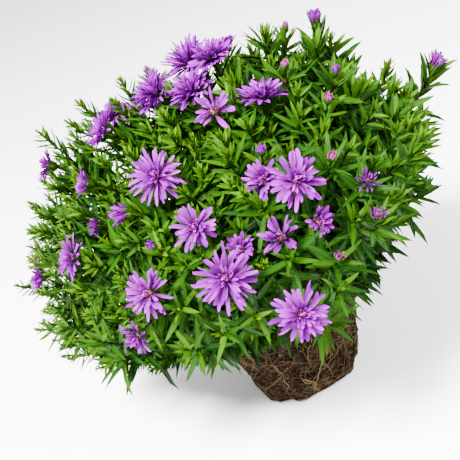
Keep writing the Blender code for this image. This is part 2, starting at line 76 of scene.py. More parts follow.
# The ball, the stems, the calyces and the reach of the bush, as the solids have them
BALL_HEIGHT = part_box("root_ball")[1].z
CROWN = np.array([0, 0, BALL_HEIGHT])
BALL_RIM_RADIUS = 57 * MM
BALL_BASE_RADIUS = 44 * MM
BALL_FOOT_RADIUS = 36 * MM
ROOT_RELIEF = 2.8 * MM
STEM_COUNT = 20
CROWN_RADIUS = 41 * MM
ROOTED_DEPTH = 11.7 * MM
STEM_RADIUS = 2.3 * MM
TIP_RADIUS = 1.1 * MM
FORK_SHARES = (0.26, 0.34, 0.42)
CALYX_HEIGHT = 5 * MM
SEAT_GAP = 0.3 * MM
REACH = 166 * MM
SHOULDER = 20 * MM
LOW_CUT = 86 * MM
LOW_CUT_AZIMUTH = 25
LOWEST_SHOOT = 88
LEAFY_TIP_COUNT = 74
LEAFY_TIP_SPACING = math.radians(17)
SKIRT_COUNT = 11
SKIRT_START = 14
SKIRT_POLAR = 88
SKIRT_REACH = 104 * MM
SKIRT_LEAST = 80 * MM

# Open flower heads: azimuth from the front towards +X, angle down from straight up, reach from the
# crown in mm, diameter in mm, the azimuth and angle that the head faces, the spread of its rays in
# degrees, how full of rays it is, the width of a ray in mm, and how withered it is
BLOOMS = [
    (-30, 33, 180, 42, -15, 48, 82, 1.0, 2.7, 0),
    (-16, 46, 178, 33, -8, 58, 72, 0.75, 3.0, 0),
    (-10, 58, 184, 45, -10, 60, 84, 1.0, 3.1, 0),
    (3, 69, 182, 40, 8, 66, 84, 1.0, 3.1, 0),
    (15, 45, 184, 41, 12, 50, 80, 0.9, 3.9, 0),
    (9, 39, 166, 32, -30, 50, 64, 0.7, 3.6, 0),
    (17, 53, 168, 22, 25, 75, 46, 0.5, 3.2, 0.1),
    (-30, 58, 182, 37, -25, 56, 78, 0.6, 3.1, 0.1),
    (-37, 67, 172, 28, -45, 95, 62, 0.5, 2.7, 0.2),
    (-58, 52, 184, 34, -60, 56, 74, 0.6, 2.7, 0.1),
    (-79, 61, 184, 33, -80, 68, 62, 0.6, 3.6, 0),
    (-99, 41, 200, 31, -90, 58, 58, 0.55, 2.6, 0),
    (-68, 36, 182, 25, -80, 58, 44, 0.5, 2.6, 0),
    (-87, 25, 186, 33, -77, 46, 66, 0.9, 3.0, 0),
    (-117, 26, 184, 28, -60, 28, 66, 1.1, 3.0, 0),
    (-143, 33, 178, 33, -40, 24, 70, 1.1, 3.0, 0),
    (-105, 11, 181, 34, -80, 40, 74, 1.2, 2.9, 0),
    (-177, 22, 188, 42, -32, 17, 72, 1.2, 3.2, 0),
    (160, 25, 195, 26, 150, 15, 36, 0.35, 2.2, 0.3),
    (1, 15, 172, 36, -5, 36, 76, 0.3, 4.1, 0),
    (38, 19, 172, 33, 40, 8, 62, 1.1, 3.2, 0),
    (-61, 44, 168, 20, -62, 60, 48, 0.4, 3.0, 0.8),
    (6, 53, 168, 32, -25, 40, 54, 0.35, 3.6, 0.2),
    (-6, 52, 160, 24, -5, 34, 48, 0.6, 3.2, 0.1),
    (32, 52, 182, 20, 28, 48, 52, 0.4, 1.8, 0.7),
    (29, 59, 180, 16, 30, 25, 28, 0.3, 1.8, 0.6),
    (130, 70, 184, 38, 130, 66, 80, 0.9, 3.0, 0),
    (153, 9, 186, 34, -20, 20, 70, 1.1, 3.2, 0),
    (154, 76, 182, 38, 154, 70, 80, 0.8, 3.0, 0),
    (168, 50, 184, 40, 168, 50, 82, 1.0, 2.9, 0),
    (-174, 76, 182, 34, -174, 68, 78, 0.7, 3.1, 0.1),
    (-150, 56, 182, 38, -150, 52, 80, 1.0, 3.0, 0),
    (-164, 33, 176, 30, -40, 26, 70, 1.1, 3.3, 0),
    (-43, 4, 174, 32, -60, 25, 70, 1.3, 3.2, 0),
    (-126, 66, 184, 36, -126, 62, 78, 0.8, 3.0, 0),
]

# Half-open heads whose colour already shows, in the same measures
OPENING = [
    (-39, 41, 180, 13, -75, 60, 18, 1.0, 2.2, 0),
    (91, 53, 208, 13, 82, 35, 12, 1.0, 2.2, 0),
    (108, 29, 206, 12, 112, 12, 10, 1.0, 2.2, 0),
]

# Closed buds: azimuth, angle down from straight up, reach in mm, and 1 where purple shows or 0 for tan
BUDS = [
    (-28, 49, 180, 1),
    (15, 62, 180, 0),
    (29, 44, 178, 0),
    (120, 25, 198, 0),
    (69, 20, 180, 0),
    (67, 31, 184, 1),
    (50, 33, 178, 0),
    (12, 34, 172, 1),
    (-151, 23, 194, 0),
]

# Leafy tips that reach past the flowers on the plant's left
LEFT_TIPS = [
    (-94, 77, 188),
    (-83, 65, 202),
    (-110, 57, 200),
    (-58, 79, 150),
    (-124, 46, 198),
    (-92, 49, 204),
]

# Finer leafy tips that stand out: azimuth, angle down, reach in mm, and how bold their leaves are
STARS = [
    (-46, 48, 184, 1), (-16, 52, 184, 1), (-56, 59, 184, 0.9), (-40, 56, 182, 0.8), (-49, 75, 176, 1),
    (-25, 71, 178, 0.9), (-15, 69, 180, 1), (5, 58, 184, 1), (4, 46, 182, 1), (41, 50, 182, 1),
    (37, 37, 182, 0.9), (37, 44, 184, 1), (62, 54, 184, 0.5), (129, 28, 204, 0.9), (146, 25, 190, 0.6),
    (107, 39, 190, 0.8), (98, 46, 196, 0.2), (87, 61, 170, 1), (40, 63, 162, 1), (-36, 19, 172, 0.2),
    (-1, 30, 176, 0.6), (0, 41, 176, 0.2), (-56, 38, 182, 0.1), (-30, 44, 180, 0.5), (-21, 53, 182, 0.8),
    (-72, 72, 178, 0.5), (-53, 70, 178, 0.7), (25, 57, 180, 0.9), (46, 53, 182, 1), (73, 50, 184, 0.8),
    (60, 42, 184, 0.7), (116, 35, 184, 0.7), (61, 9, 170, 0.5), (40, 29, 178, 0.7), (-12, 33, 178, 0.2),
    (21, 37, 178, 0.9), (13, 68, 176, 1), (-7, 67, 178, 0.9), (9, 75, 170, 1), (-25, 62, 180, 0.8),
    (36, 58, 180, 1), (57, 49, 184, 0.9), (-123, 20, 203, 0.15), (-109, 28, 212, 0.1),
    (-105, 32, 209, 0.1), (-99, 36, 221, 0.1), (-91, 55, 198, 0.3), (-89, 58, 196, 0.3),
    (-80, 75, 190, 0.4), (-78, 80, 176, 0.5), (134, 19, 189, 0.7), (132, 23, 203, 0.8),
    (106, 33, 200, 0.8), (84, 64, 156, 0.8), (-77, 30, 182, 0.1), (-54, 14, 178, 0.05),
    (-15, 24, 178, 0.05), (-3, 38, 178, 0.1), (-78, 42, 188, 0.2), (-63, 54, 186, 0.3),
    (-56, 26, 180, 0.2), (-20, 37, 178, 0.4), (-1, 25, 176, 0.3), (48, 17, 180, 0.5), (86, 17, 184, 0.7),
    (93, 24, 186, 0.7), (80, 32, 190, 0.7), (54, 25, 180, 0.6), (15, 24, 176, 0.5), (119, 19, 202, 0.8),
    (87, 36, 184, 0.9), (151, 17, 174, 0.7), (38, 11, 184, 0.7), (18, 15, 184, 0.5),
    (-147, 17, 170, 0.15), (-138, 19, 166, 0.1), (176, 15, 166, 0.2), (9, 18, 178, 0.2),
    (67, 37, 186, 0.8), (74, 39, 186, 0.9), (84, 46, 188, 1), (84, 50, 188, 1), (91, 58, 178, 1),
    (138, 29, 196, 0.9), (78, 54, 182, 1), (74, 57, 178, 1), (62, 50, 186, 0.9), (67, 47, 186, 0.9),
    (54, 54, 186, 1), (52, 58, 172, 1), (45, 59, 170, 1), (123, 33, 196, 0.9), (91, 65, 148, 1),
    (115, 7, 172, 0.5), (126, 12, 178, 0.5), (98, 28, 200, 0.9), (155, 28, 188, 0.5), (150, 21, 180, 0.5),
    (168, 31, 176, 0.3), (161, 38, 186, 0.6), (151, 35, 188, 0.8), (139, 50, 188, 0.8),
    (128, 40, 184, 0.8), (136, 38, 186, 0.8), (-112, 36, 201, 0.3), (-118, 34, 199, 0.3),
    (-115, 40, 199, 0.3), (-108, 41, 204, 0.3), (-106, 46, 202, 0.3), (-113, 46, 197, 0.3),
    (-101, 46, 203, 0.3), (-100, 53, 201, 0.3), (-107, 52, 197, 0.3), (-96, 57, 200, 0.35),
    (-127, 34, 193, 0.3), (-122, 41, 193, 0.3), (-91, 43, 196, 0.3), (-84, 59, 196, 0.4),
]

# How leaves change down a shoot: the distance below its tip in mm, then a leaf's length and width in
# mm, its angle from the shoot and how much further it arches in degrees
BOLD_LEAVES = [
    (0, 13, 2.3, 9, 3), (3, 18, 3.0, 26, 6), (8, 25, 4.0, 48, 12), (16, 30, 4.7, 60, 20),
    (40, 33, 5.3, 70, 26), (90, 30, 5.2, 82, 32),
]
FINE_LEAVES = [
    (0, 4, 1.5, 14, 0), (2, 5.5, 2.2, 48, -14), (5, 7.5, 2.7, 66, -30), (10, 11, 3.1, 72, -38),
    (25, 16, 4.0, 74, -28), (50, 20, 4.8, 74, -10), (90, 22, 5.0, 78, 10),
]

# A shoot is straight for so far below its tip, to hold the calyx and a little neck
STRAIGHT_END = CALYX_HEIGHT + 1.5 * MM
# Finer shoots: the radius at their foot, and how far down from straight up they go, in degrees
FINE_FOOT_RADIUS = 1.25 * MM
LOWEST_FINE_SHOOT = 92
# Least angles between finer tips as seen from the crown, in degrees: for named ones, for fine ones,
# more behind, more for bold ones, and how much of that is saved on the right and on top
NAMED_SPACING = 3.2
FINE_SPACING = 3.6
BEHIND_SPACING = 0.9
BOLD_SPACING = 2.7
BOLD_SPACING_SAVED = 1.2
# Foot radii above which a shoot is a main one, and a trunk
MAIN_FOOT = 1.5 * MM
TRUNK_FOOT = 2 * MM
# Shares of a main and of a finer shoot that stay bare at the foot
BARE_MAIN = 0.16
BARE_FINE = 0.2
# Room that leaves of named and of other shoots keep free ahead of a head, in its radii
NAMED_ROOM = 0.5
OTHER_ROOM = 2.2
BUD_RADIUS = 5 * MM
# Most leaves on a shoot, and how far they may pass the solids' box and have to stay off the floor
MOST_LEAVES = 48
PAST_THE_BOX = 8 * MM
OFF_THE_FLOOR = 6 * MM
# Thickness and width of blades
LEAF_THICKNESS = 0.45 * MM
RAY_THICKNESS = 0.45 * MM
BRACT_THICKNESS = 0.35 * MM
BRACT_WIDTH = 1.5 * MM
TUFT_THICKNESS = 0.5 * MM
FLORET_THICKNESS = 0.7 * MM
FLORET_WIDTH = 0.9 * MM
HEART_RADIUS = 2.3 * MM
# Cups and closed buds: heights along their axis and radii there, in mm
CALYX_FORM = ((0, 1, 2.2, 3.6, 5), (1.2, 2.0, 3.0, 3.6, 3.5))
BUD_FORM = ((0, 1, 2.2, 3.8, 5.2, 6), (1.1, 2.0, 2.7, 2.8, 2.1, 0.4))
HEART_FORM = ((0.2, 1.4, 2.6, 3.2), (3.1, 3.0, 2.2, 0.5))
# How finely the soil is made: points round it, rings up its side, and rings over its top
SOIL_SIDES = 240
SOIL_ROWS = 100
SOIL_TOP_RINGS = 20

# Where a blade has its rings of points, for leaves shorter than each length, and for rays and
# bracts; a leaf deep in the bush counts as a shorter one
LEAF_SIZES = [7 * MM, 12 * MM, 20 * MM]
LEAF_STATIONS = [
    np.array([0, 0.42, 1]), np.array([0, 0.3, 0.68, 1]), np.array([0, 0.2, 0.48, 0.78, 1]),
    np.array([0, 0.14, 0.34, 0.58, 0.82, 1]),
]
DEEP_LEAF_SHARE = 0.45
DEEP_LEAF_AGE = 0.5
RAY_STATIONS = np.array([0, 0.2, 0.48, 0.74, 0.9, 0.97, 1])
BRACT_STATIONS = np.array([0, 0.3, 0.65, 1])

# Roots on the ball: how many, rings of points, radius in mm, and the share of its height they drop
ROOT_KINDS = ((60, 30, 0.6, 1.0), (200, 22, 0.34, 0.6), (280, 18, 0.22, 0.15))

# Colours that the sidebar doesn't offer
LEAF_UNDERSIDE = (0.017, 0.048, 0.002)
OLD_STEM = (0.02, 0.014, 0.006)
DRY_RAY = (0.12, 0.035, 0.03)
# Painted shade at the feet of the rays, in the middle of a head
RAY_FOOT_SHADE = (0.05, 0.0, 0.05)
RAY_LINE = (0.085, 0.0, 0.115)
RAY_UNDERSIDE = (0.2, 0.0, 0.28)
FLORET_FOOT = (0.09, 0.015, 0.06)
FLORET_TIP = (0.26, 0.1, 0.015)
FADED_HEART = (0.03, 0.003, 0.035)
DAMP_SOIL = (0.0015, 0.0006, 0.0004)
DRY_SOIL = (0.016, 0.0075, 0.0035)
DARK_ROOT = (0.006, 0.0026, 0.0012)
# Dark root colour for old roots and for painted shade high on the ball
OLD_AND_SHADED_ROOT = (0.007, 0.003, 0.0015)

# Stage
SKY_STRENGTH = 1.95
FLOOR_TONE = 0.93
FLOOR_HALF_SIZE = 6.0
# Lamps: name, place in metres, power in watts and size in metres
LAMPS = (
    ("key_light", (-0.7, -0.9, 1.7), 500, 0.6),
    ("fill_light", (1.2, -0.7, 1.0), 95, 1.2),
)

# Camera: it looks down on the crown, turned about its own axis, from an arm's length
LOOK_DOWN = math.radians(28)
ROLL = math.radians(20)
CAMERA_DISTANCE = 0.75
SENSOR = 36
LENS = 72.8
# Where the crown shows in the photograph, in its pixels
CROWN_PIXEL = (276, 285)
PHOTO_SIZE = 460


def unit(v):
    """Each vector divided by its length."""
    return v / np.linalg.norm(v, axis=-1, keepdims=True)


def direction(azimuth, polar):
    """Unit vectors at azimuths from the front and angles down from straight up, in degrees."""
    a, p = np.radians(azimuth), np.radians(polar)
    return np.stack([np.sin(p) * np.sin(a), -np.sin(p) * np.cos(a), np.cos(p) + 0 * a], axis=-1)


def crossways(along):
    """Unit vectors square to along, level where they can be."""
    side = np.cross(along, [0.0, 0.0, 1.0])
    steep = np.linalg.norm(side, axis=-1, keepdims=True) <= 0.1
    return unit(np.where(steep, np.cross(along, [0.0, 1.0, 0.0]), side))


def square_to(vector, along):
    """The part of each vector that is square to along, as a unit vector."""
    return unit(vector - along * (vector * along).sum(axis=-1, keepdims=True))


def swung(angle, first, second):
    """What first becomes when it swings towards second by each angle, in radians."""
    return np.cos(angle)[..., None] * first + np.sin(angle)[..., None] * second


def together(*values):
    """Arrays brought to one shape and set side by side along a new last axis."""
    return np.stack(np.broadcast_arrays(*values), axis=-1)


def spiral(count, lowest, turned=0.0):
    """Directions spread evenly over a cap down to lowest, by the golden angle, with their angles."""
    floor = math.cos(math.radians(lowest))
    for k in range(count):
        azimuth = math.degrees((k + turned) * GOLDEN)
        polar = math.degrees(math.acos(1 - (1 - floor) * (k + 0.5) / count))
        yield azimuth, polar, direction(azimuth, polar)


def smooth(x):
    """A smooth step from 0 to 1 over x from 0 to 1."""
    x = np.clip(x, 0, 1)
    return x * x * (3 - 2 * x)


def noise(points, size, seed=0):
    """Smooth random values from -1 to 1: each corner of a cubic lattice gets one, blended between.

    A corner's value is its whole-number place, scrambled with large primes.
    """
    place = points / size + 1000
    cell = np.floor(place).astype(np.int64)
    blend = smooth(place - cell)
    total = 0
    for corner in np.ndindex(2, 2, 2):
        spot = cell + corner
        value = spot[..., 0] * 73856093 ^ spot[..., 1] * 19349663 ^ spot[..., 2] * 83492791
        value = value ^ seed * 2654435
        value = (value ^ (value >> 13)) * 1274126177 & 0xFFFFFF
        weight = np.where(np.array(corner) == 1, blend, 1 - blend).prod(axis=-1)
        total = total + weight * (value / 0x7FFFFF - 1)
    return total


class Skin:
    """Closed surfaces gathered for one piece: points, four-cornered faces, UV and traits."""

    def __init__(self):
        self.points, self.faces, self.uv, self.traits, self.rims = [], [], [], [], []
        self.size = 0

    def add(self, points, uv, traits, rims):
        """Takes tubes (count, rings, sides, 3) whose rings run anticlockwise about their run."""
        count, rings, sides, _ = points.shape
        self.faces.append(self.size + tube_faces(count, rings, sides))
        shape = (count, rings, sides)
        self.points.append(points.reshape(-1, 3))
        self.uv.append(np.broadcast_to(uv, (*shape, 2)).reshape(-1, 2))
        self.traits.append(np.broadcast_to(traits, (*shape, 3)).reshape(-1, 3))
        self.rims.append(np.broadcast_to(rims, shape).reshape(-1))
        self.size += count * rings * sides

    def made(self, name, look, slot, node):
        """Turns the skin into a mesh object that rides with the plant and stands for a node."""
        if not self.size:
            raise RuntimeError(f"{name} has no surface")
        mesh = bpy.data.meshes.new(name)
        faces = np.concatenate(self.faces)
        mesh.vertices.add(self.size)
        mesh.vertices.foreach_set("co", np.concatenate(self.points).astype(np.float32).ravel())
        mesh.loops.add(faces.size)
        mesh.loops.foreach_set("vertex_index", faces.astype(np.int32).ravel())
        mesh.polygons.add(len(faces))
        mesh.polygons.foreach_set("loop_start", np.arange(len(faces), dtype=np.int32) * 4)
        mesh.polygons.foreach_set("use_smooth", np.ones(len(faces), bool))
        mesh.update(calc_edges=True)
        uv = np.concatenate(self.uv)[faces.ravel()].astype(np.float32)
        mesh.uv_layers.new(name="UVMap").data.foreach_set("uv", uv.ravel())
        traits = np.concatenate(self.traits).astype(np.float32)
        mesh.attributes.new("traits", "FLOAT_VECTOR", "POINT").data.foreach_set("vector", traits.ravel())
        edges = np.empty(len(mesh.edges) * 2, np.int32)
        mesh.edges.foreach_get("vertices", edges)
        sharp = np.concatenate(self.rims)[edges.reshape(-1, 2)].all(axis=1)
        mesh.attributes.new("sharp_edge", "BOOLEAN", "EDGE").data.foreach_set("value", sharp)
        mesh.materials.append(look)
        piece = bpy.data.objects.new(name, mesh)
        bpy.context.scene.collection.objects.link(piece)
        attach(piece, "root")
        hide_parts(node)
        return piece


def tube_faces(count, rings, sides):
    """Faces of closed tubes: four-cornered walls from ring to ring, and each end split in fours."""
    ring = np.arange(sides)
    after = (ring + 1) % sides
    low = np.arange(rings - 1)[:, None] * sides
    walls = np.stack([low + ring, low + after, low + sides + after, low + sides + ring], axis=-1)
    k = np.arange(1, sides // 2)
    end = np.stack([0 * k, 2 * k - 1, 2 * k, (2 * k + 1) % sides], axis=-1)
    one = np.concatenate([end[:, ::-1], walls.reshape(-1, 4), end + (rings - 1) * sides])
    return (one + np.arange(count)[:, None, None] * rings * sides).reshape(-1, 4)


def blades(skin, root, along, out, lean, arch, length, width, age, chance,
           profile, stations, thickness, fold, twist=0.0, sway=0.0, roll=0.0):
    """Adds folded blades, one for each root: leaves, bracts or rays.

    The rib turns evenly from lean to lean + arch away from along, towards out, and sways aside with
    the square of its run. Across the rib the blade is as wide as the profile says, with each edge
    raised by fold times that half width. It turns about the rib by roll at its foot, and by twist
    along its run.
    """
    s = stations
    count = len(root)
    lean, arch, length, width, age, chance, fold, twist, sway, roll = (
        np.broadcast_to(value, count)[:, None]
        for value in (lean, arch, length, width, age, chance, fold, twist, sway, roll))
    along = np.broadcast_to(along, (count, 3))
    angle = lean + arch * s
    middle = (angle[:, 1:] + angle[:, :-1]) / 2
    run = swung(middle, along[:, None], out[:, None]) * (np.diff(s) * length)[..., None]
    rib = root[:, None] + np.concatenate([np.zeros((count, 1, 3)), np.cumsum(run, axis=1)], axis=1)
    side = unit(np.cross(along, out))[:, None]
    rib = rib + side * (sway * length * s**2)[..., None]
    upper = np.cross(swung(angle, along[:, None], out[:, None]), side)
    turn = twist * s + roll * smooth(s / 0.3)
    right, upper = swung(turn, side, upper), swung(turn, upper, -side)
    steep = np.arctan(fold)[..., None]
    half = (width * profile(s) / 2)[..., None] * np.cos(steep)
    lift = upper * half * np.tan(steep)
    thick = upper * thickness / 2 * (0.35 + 0.65 * np.sin(np.pi * np.clip(s, 0.1, 0.9)))[:, None]
    corners = [rib + right * half + lift, rib + thick, rib - right * half + lift, rib - thick]
    points = np.stack(corners, axis=2)
    uv = together([1, 0.5, 0, 0.5], s[:, None])
    under = np.array([0.5, 0, 0.5, 1])
    traits = together(age, chance, under)
    skin.add(points, uv, traits[:, None], np.array([True, False, True, False]))


def tubes(skin, path, radius, age, chance, sides=6):
    """Adds round tubes along paths (count, rings, 3), with a radius for each ring.

    The first spoke of each ring is the last ring's one, made square to the path again.
    """
    heading = unit(np.gradient(path, axis=1))
    side = np.empty_like(path)
    side[:, 0] = crossways(heading[:, 0])
    for k in range(1, path.shape[1]):
        side[:, k] = square_to(side[:, k - 1], heading[:, k])
    angle = np.arange(sides) * math.tau / sides
    spoke = swung(angle, side[:, :, None], np.cross(heading, side)[:, :, None])
    points = path[:, :, None] + spoke * radius[..., None, None]
    share = np.linspace(0, 1, path.shape[1])[:, None]
    uv = together(np.arange(sides) / sides, share)
    age, chance = (np.broadcast_to(value, len(path))[:, None, None] for value in (age, chance))
    traits = together(age, chance, 0.0)
    skin.add(points, uv, traits, np.array(False))


def lance(s):
    """A lance-shaped leaf's width along it: narrow at its foot, widest before the middle, pointed."""
    shape = (0.05 + s) ** 0.6 * (1.004 - s) ** 0.8
    return shape / ((0.05 + 0.4) ** 0.6 * 0.604**0.8)


def strap(s):
    """A ray's width along it: a narrow foot, nearly even sides, and a blunt rounded end."""
    foot = 0.34 + 0.66 * smooth(s / 0.55)
    end = 1.02 - (np.clip(s - 0.72, 0, 1) / 0.28) ** 2.4
    return foot * np.sqrt(np.clip(end, 0, 1))


def reach_at(azimuth, polar):
    """How far a leafy shoot reaches: full shoulders all round, drawn in low at the front right."""
    shoulder = SHOULDER * np.exp(-(((polar - 62) / 22) ** 2))
    turned = np.radians((azimuth - LOW_CUT_AZIMUTH + 180) % 360 - 180)
    drawn_in = np.maximum(0, np.cos(np.minimum(np.pi / 2, abs(turned) * 0.75))) ** 0.8
    left = 1 + 0.04 * np.cos(np.radians(azimuth + 100))
    low = np.clip((polar - 52) / 30, 0, 1.2)
    return (REACH + shoulder) * left - LOW_CUT * drawn_in * low


def boldness_at(aim):
    """How bold leaves are, from 0 to 1: fine on the left, broad to the right and low in front."""
    low_front = max(0, -aim[1]) * (1 - abs(aim[2]))
    return 0.48 + 0.6 * aim[0] + 0.35 * low_front


def spread_tips(taken, reach_random):
    """The solids' own leafy tips: a skirt over the rim, then tips where no flower or bud is."""
    turn = SKIRT_START + np.arange(SKIRT_COUNT) * 360 / SKIRT_COUNT
    skirt_reach = np.clip(reach_at(turn, SKIRT_POLAR), SKIRT_LEAST, SKIRT_REACH)
    skirt = list(zip(direction(turn, SKIRT_POLAR), skirt_reach))
    found = [(direction(azimuth, polar), reach * MM) for azimuth, polar, reach in LEFT_TIPS]
    for azimuth, polar, aim in spiral(LEAFY_TIP_COUNT, LOWEST_SHOOT):
        reach = reach_at(azimuth, polar)
        near = np.array(taken + [t[0] for t in found]) @ aim
        if reach > SKIRT_REACH * 1.1 and near.max() < math.cos(LEAFY_TIP_SPACING):
            found.append((aim, reach * reach_random.uniform(0.94, 1.03)))
    return skirt + found


def stand_of(row):
    """Where a head's row has it: its direction and reach in mm from the crown, and where it faces."""
    azimuth, polar, reach, _, face_azimuth, face_polar, *_ = row
    return direction(azimuth, polar), reach, direction(face_azimuth, face_polar)


def all_tips():
    """Every tip that the solids have, as (kind, aim, reach, facing, row); a bud faces a little upwards."""
    tips = []
    for kind, rows in (("bloom", BLOOMS), ("opening", OPENING)):
        for row in rows:
            aim, reach, facing = stand_of(row)
            tips.append((kind, aim, reach * MM, facing, row))
    for row in BUDS:
        azimuth, polar, reach, _ = row
        tips.append(("bud", direction(azimuth, polar), reach * MM, direction(azimuth, polar * 0.8), row))
    for aim, reach in spread_tips([t[1] for t in tips], np.random.default_rng(2)):
        tips.append(("leafy", aim, reach, unit(aim + [0, 0, 0.25]), None))
    return tips


def shared_out(aims):
    """Gives each tip to one of the stems: the stems' aims settle at the middle of their tips."""
    middles = aims[:1]
    while len(middles) < STEM_COUNT:
        furthest = (aims @ middles.T).max(axis=1).argmin()
        middles = np.concatenate([middles, aims[furthest:furthest + 1]])
    for _ in range(12):
        nearest = (aims @ middles.T).argmax(axis=1)
        for k in range(STEM_COUNT):
            if (nearest == k).any():
                middles[k] = unit(aims[nearest == k].mean(axis=0))
    return nearest, middles


class Shoots:
    """Lines of growth, each bent evenly from where it leaves to its tip and ending straight."""

    RINGS = 22

    def __init__(self):
        self.paths, self.lengths, self.stems, self.kinds, self.foots = [], [], [], [], []
        self.vigours, self.boldness, self.named = [], [], []

    def add(self, stem, kind, start, leaving, end, facing, foot, vigour, anchor, bold, named=False):
        """Adds a cubic curve from start to a straight neck below end, and returns its number."""
        neck = end - facing * STRAIGHT_END
        span = np.linalg.norm(neck - start)
        bend = [start, start + leaving * span * 0.34, neck - facing * span * 0.2, neck]
        t = np.linspace(0, 1, 40)[:, None]
        line = sum(c * p * t**k * (1 - t) ** (3 - k) for k, (c, p) in enumerate(zip((1, 3, 3, 1), bend)))
        line = np.concatenate([[anchor], line, [end]])
        reached = np.concatenate([[0], np.cumsum(np.linalg.norm(np.diff(line, axis=0), axis=1))])
        even = np.linspace(0, reached[-1], self.RINGS)
        self.paths.append(np.stack([np.interp(even, reached, line[:, k]) for k in range(3)], axis=1))
        self.lengths.append(reached[-1])
        self.stems.append(stem)
        self.kinds.append(kind)
        self.foots.append(foot)
        self.vigours.append(vigour)
        self.boldness.append(float(np.clip(bold, 0, 1)))
        self.named.append(named)
        return len(self.paths) - 1

    def at(self, shoot, distance):
        """Points and directions at distances along shoots; both may be arrays."""
        paths, lengths = np.array(self.paths), np.array(self.lengths)
        place = np.clip(distance / lengths[shoot], 0, 0.9999) * (self.RINGS - 1)
        k = place.astype(int)
        low, high = paths[shoot, k], paths[shoot, k + 1]
        return low + (high - low) * (place - k)[..., None], unit(high - low)


def grow(sizes):
    """All shoots: the solids' own ones first, then finer ones that fork from them.

    The tip of each stem nearest to its aim grows from the ball, and the others fork from that one.
    """
    random = np.random.default_rng(11)
    tips = all_tips()
    aims = np.array([t[1] for t in tips])
    nearest, middles = shared_out(aims.copy())
    shoots = Shoots()
    heads = []
    numbers = {}
    up = np.array([0, 0, 1.0])
    for k in range(STEM_COUNT):
        mine = [i for i in range(len(tips)) if nearest[i] == k]
        if not mine:
            continue
        numbers[k] = len(numbers) + 1
        polar = math.degrees(math.acos(np.clip(middles[k][2], -1, 1)))
        level = unit(middles[k] * [1, 1, 0])
        foot = CROWN + level * CROWN_RADIUS * min(1, polar / 92)
        leader = max(mine, key=lambda i: aims[i] @ middles[k])
        trunk = None
        for rank, i in enumerate([leader] + [j for j in mine if j != leader]):
            kind, aim, reach, facing, row = tips[i]
            end = CROWN + aim * reach
            if trunk is None:
                leaving = unit(up * 0.8 + aim * 0.5)
                start, anchor = foot + up * 4 * MM, foot - up * ROOTED_DEPTH
                radius = STEM_RADIUS
            else:
                share = FORK_SHARES[-(rank % 3)]
                start, along = shoots.at(trunk, np.array(share * shoots.lengths[trunk]))
                leaving = unit(along * 0.45 + unit(end - start) * 0.55)
                anchor = start - leaving * STEM_RADIUS
                radius = STEM_RADIUS * 0.75
            bold = boldness_at(aim) + random.normal(0, 0.15)
            number = shoots.add(numbers[k], kind, start, leaving, end, facing, radius,
                                random.uniform(0.9, 1.05), anchor, bold)
            trunk = number if trunk is None else trunk
            if row is not None:
                heads.append((number, kind, end, facing, row))
    finer_shoots(shoots, aims, middles, numbers, sizes, random)
    return shoots, heads


def finer_shoots(shoots, aims, middles, numbers, sizes, random):
    """Forks thinner leafy shoots from the main ones: the named ones, an even spread, and inner ones.

    Tips of the even spread reach higher over the crest and further on the left, and less far low on
    the right. A tip nearer to another than its spacing is left out.
    """
    main_aims = unit(np.array(shoots.paths)[:, -1] - CROWN)
    main_stems = np.array(shoots.stems)
    wanted = [(direction(a, p), reach * MM, bold, True) for a, p, reach, bold in STARS]
    for azimuth, polar, aim in spiral(sizes.finer_shoots, LOWEST_FINE_SHOOT, 0.5):
        crest = float(smooth((aim[2] - 0.74) / 0.2))
        reach = max(SKIRT_LEAST, reach_at(azimuth, polar)) * random.uniform(0.84, 0.985)
        reach *= 1 + (0.09 + 0.22 * aim[1]) * crest
        reach *= 1 + 0.1 * np.clip(-1.3 * aim[0], 0, 1)
        reach *= 1 - 0.19 * float(smooth((aim[0] - 0.35) / 0.4) * smooth((0.5 - aim[2]) / 0.3))
        wanted.append((aim, reach, boldness_at(aim) + random.normal(0, 0.2), False))
    taken = list(aims)
    inner_from = len(wanted)
    for azimuth, polar, aim in spiral(sizes.inner_shoots, LOWEST_FINE_SHOOT):
        reach = max(SKIRT_LEAST, reach_at(azimuth, polar)) * random.uniform(0.45, 0.85)
        wanted.append((aim, reach, 0.7, False))
    for rank, (aim, reach, bold, named) in enumerate(wanted):
        if rank == inner_from:
            taken = [np.zeros(3)]
        rightward = float(smooth((aim[0] - 0.25) / 0.4))
        behind = float(smooth((aim[1] - 0.2) / 0.4) * smooth((0.8 - aim[2]) / 0.3))
        top = float(smooth((aim[2] - 0.74) / 0.2))
        bold_room = BOLD_SPACING - BOLD_SPACING_SAVED * max(rightward, top)
        spacing = FINE_SPACING + BEHIND_SPACING * behind + bold_room * np.clip(bold, 0, 1)
        spacing = NAMED_SPACING if named else spacing
        if (np.array(taken) @ aim).max() > math.cos(math.radians(spacing)):
            continue
        taken.append(aim)
        owner = numbers[max(numbers, key=lambda k: middles[k] @ aim)]
        rows = np.flatnonzero(main_stems == owner)
        parent = rows[(main_aims[rows] @ aim).argmax()]
        share = random.uniform(0.4, 0.66)
        start, along = shoots.at(parent, np.array(share * shoots.lengths[parent]))
        end = CROWN + aim * (reach - 9 * MM * np.clip(bold, 0, 1))
        toward = unit(end - start)
        leaving = unit(along * 0.5 + toward * 0.6)
        facing = unit(aim * 0.7 + toward * 0.4 + np.array([0, 0, 0.3]) + random.normal(0, 0.12, 3))
        vigour = random.uniform(0.85, 1.08)
        shoots.add(owner, "leafy", start, leaving, end, facing, FINE_FOOT_RADIUS, vigour,
                   start - leaving * MM, bold, named)


def blended(below, bold, column):
    """One column of the leaf tables at each distance below the tip, between fine and bold."""
    fine, broad = np.array(FINE_LEAVES, float), np.array(BOLD_LEAVES, float)
    least = np.interp(below / MM, fine[:, 0], fine[:, column])
    most = np.interp(below / MM, broad[:, 0], broad[:, column])
    return least + (most - least) * bold


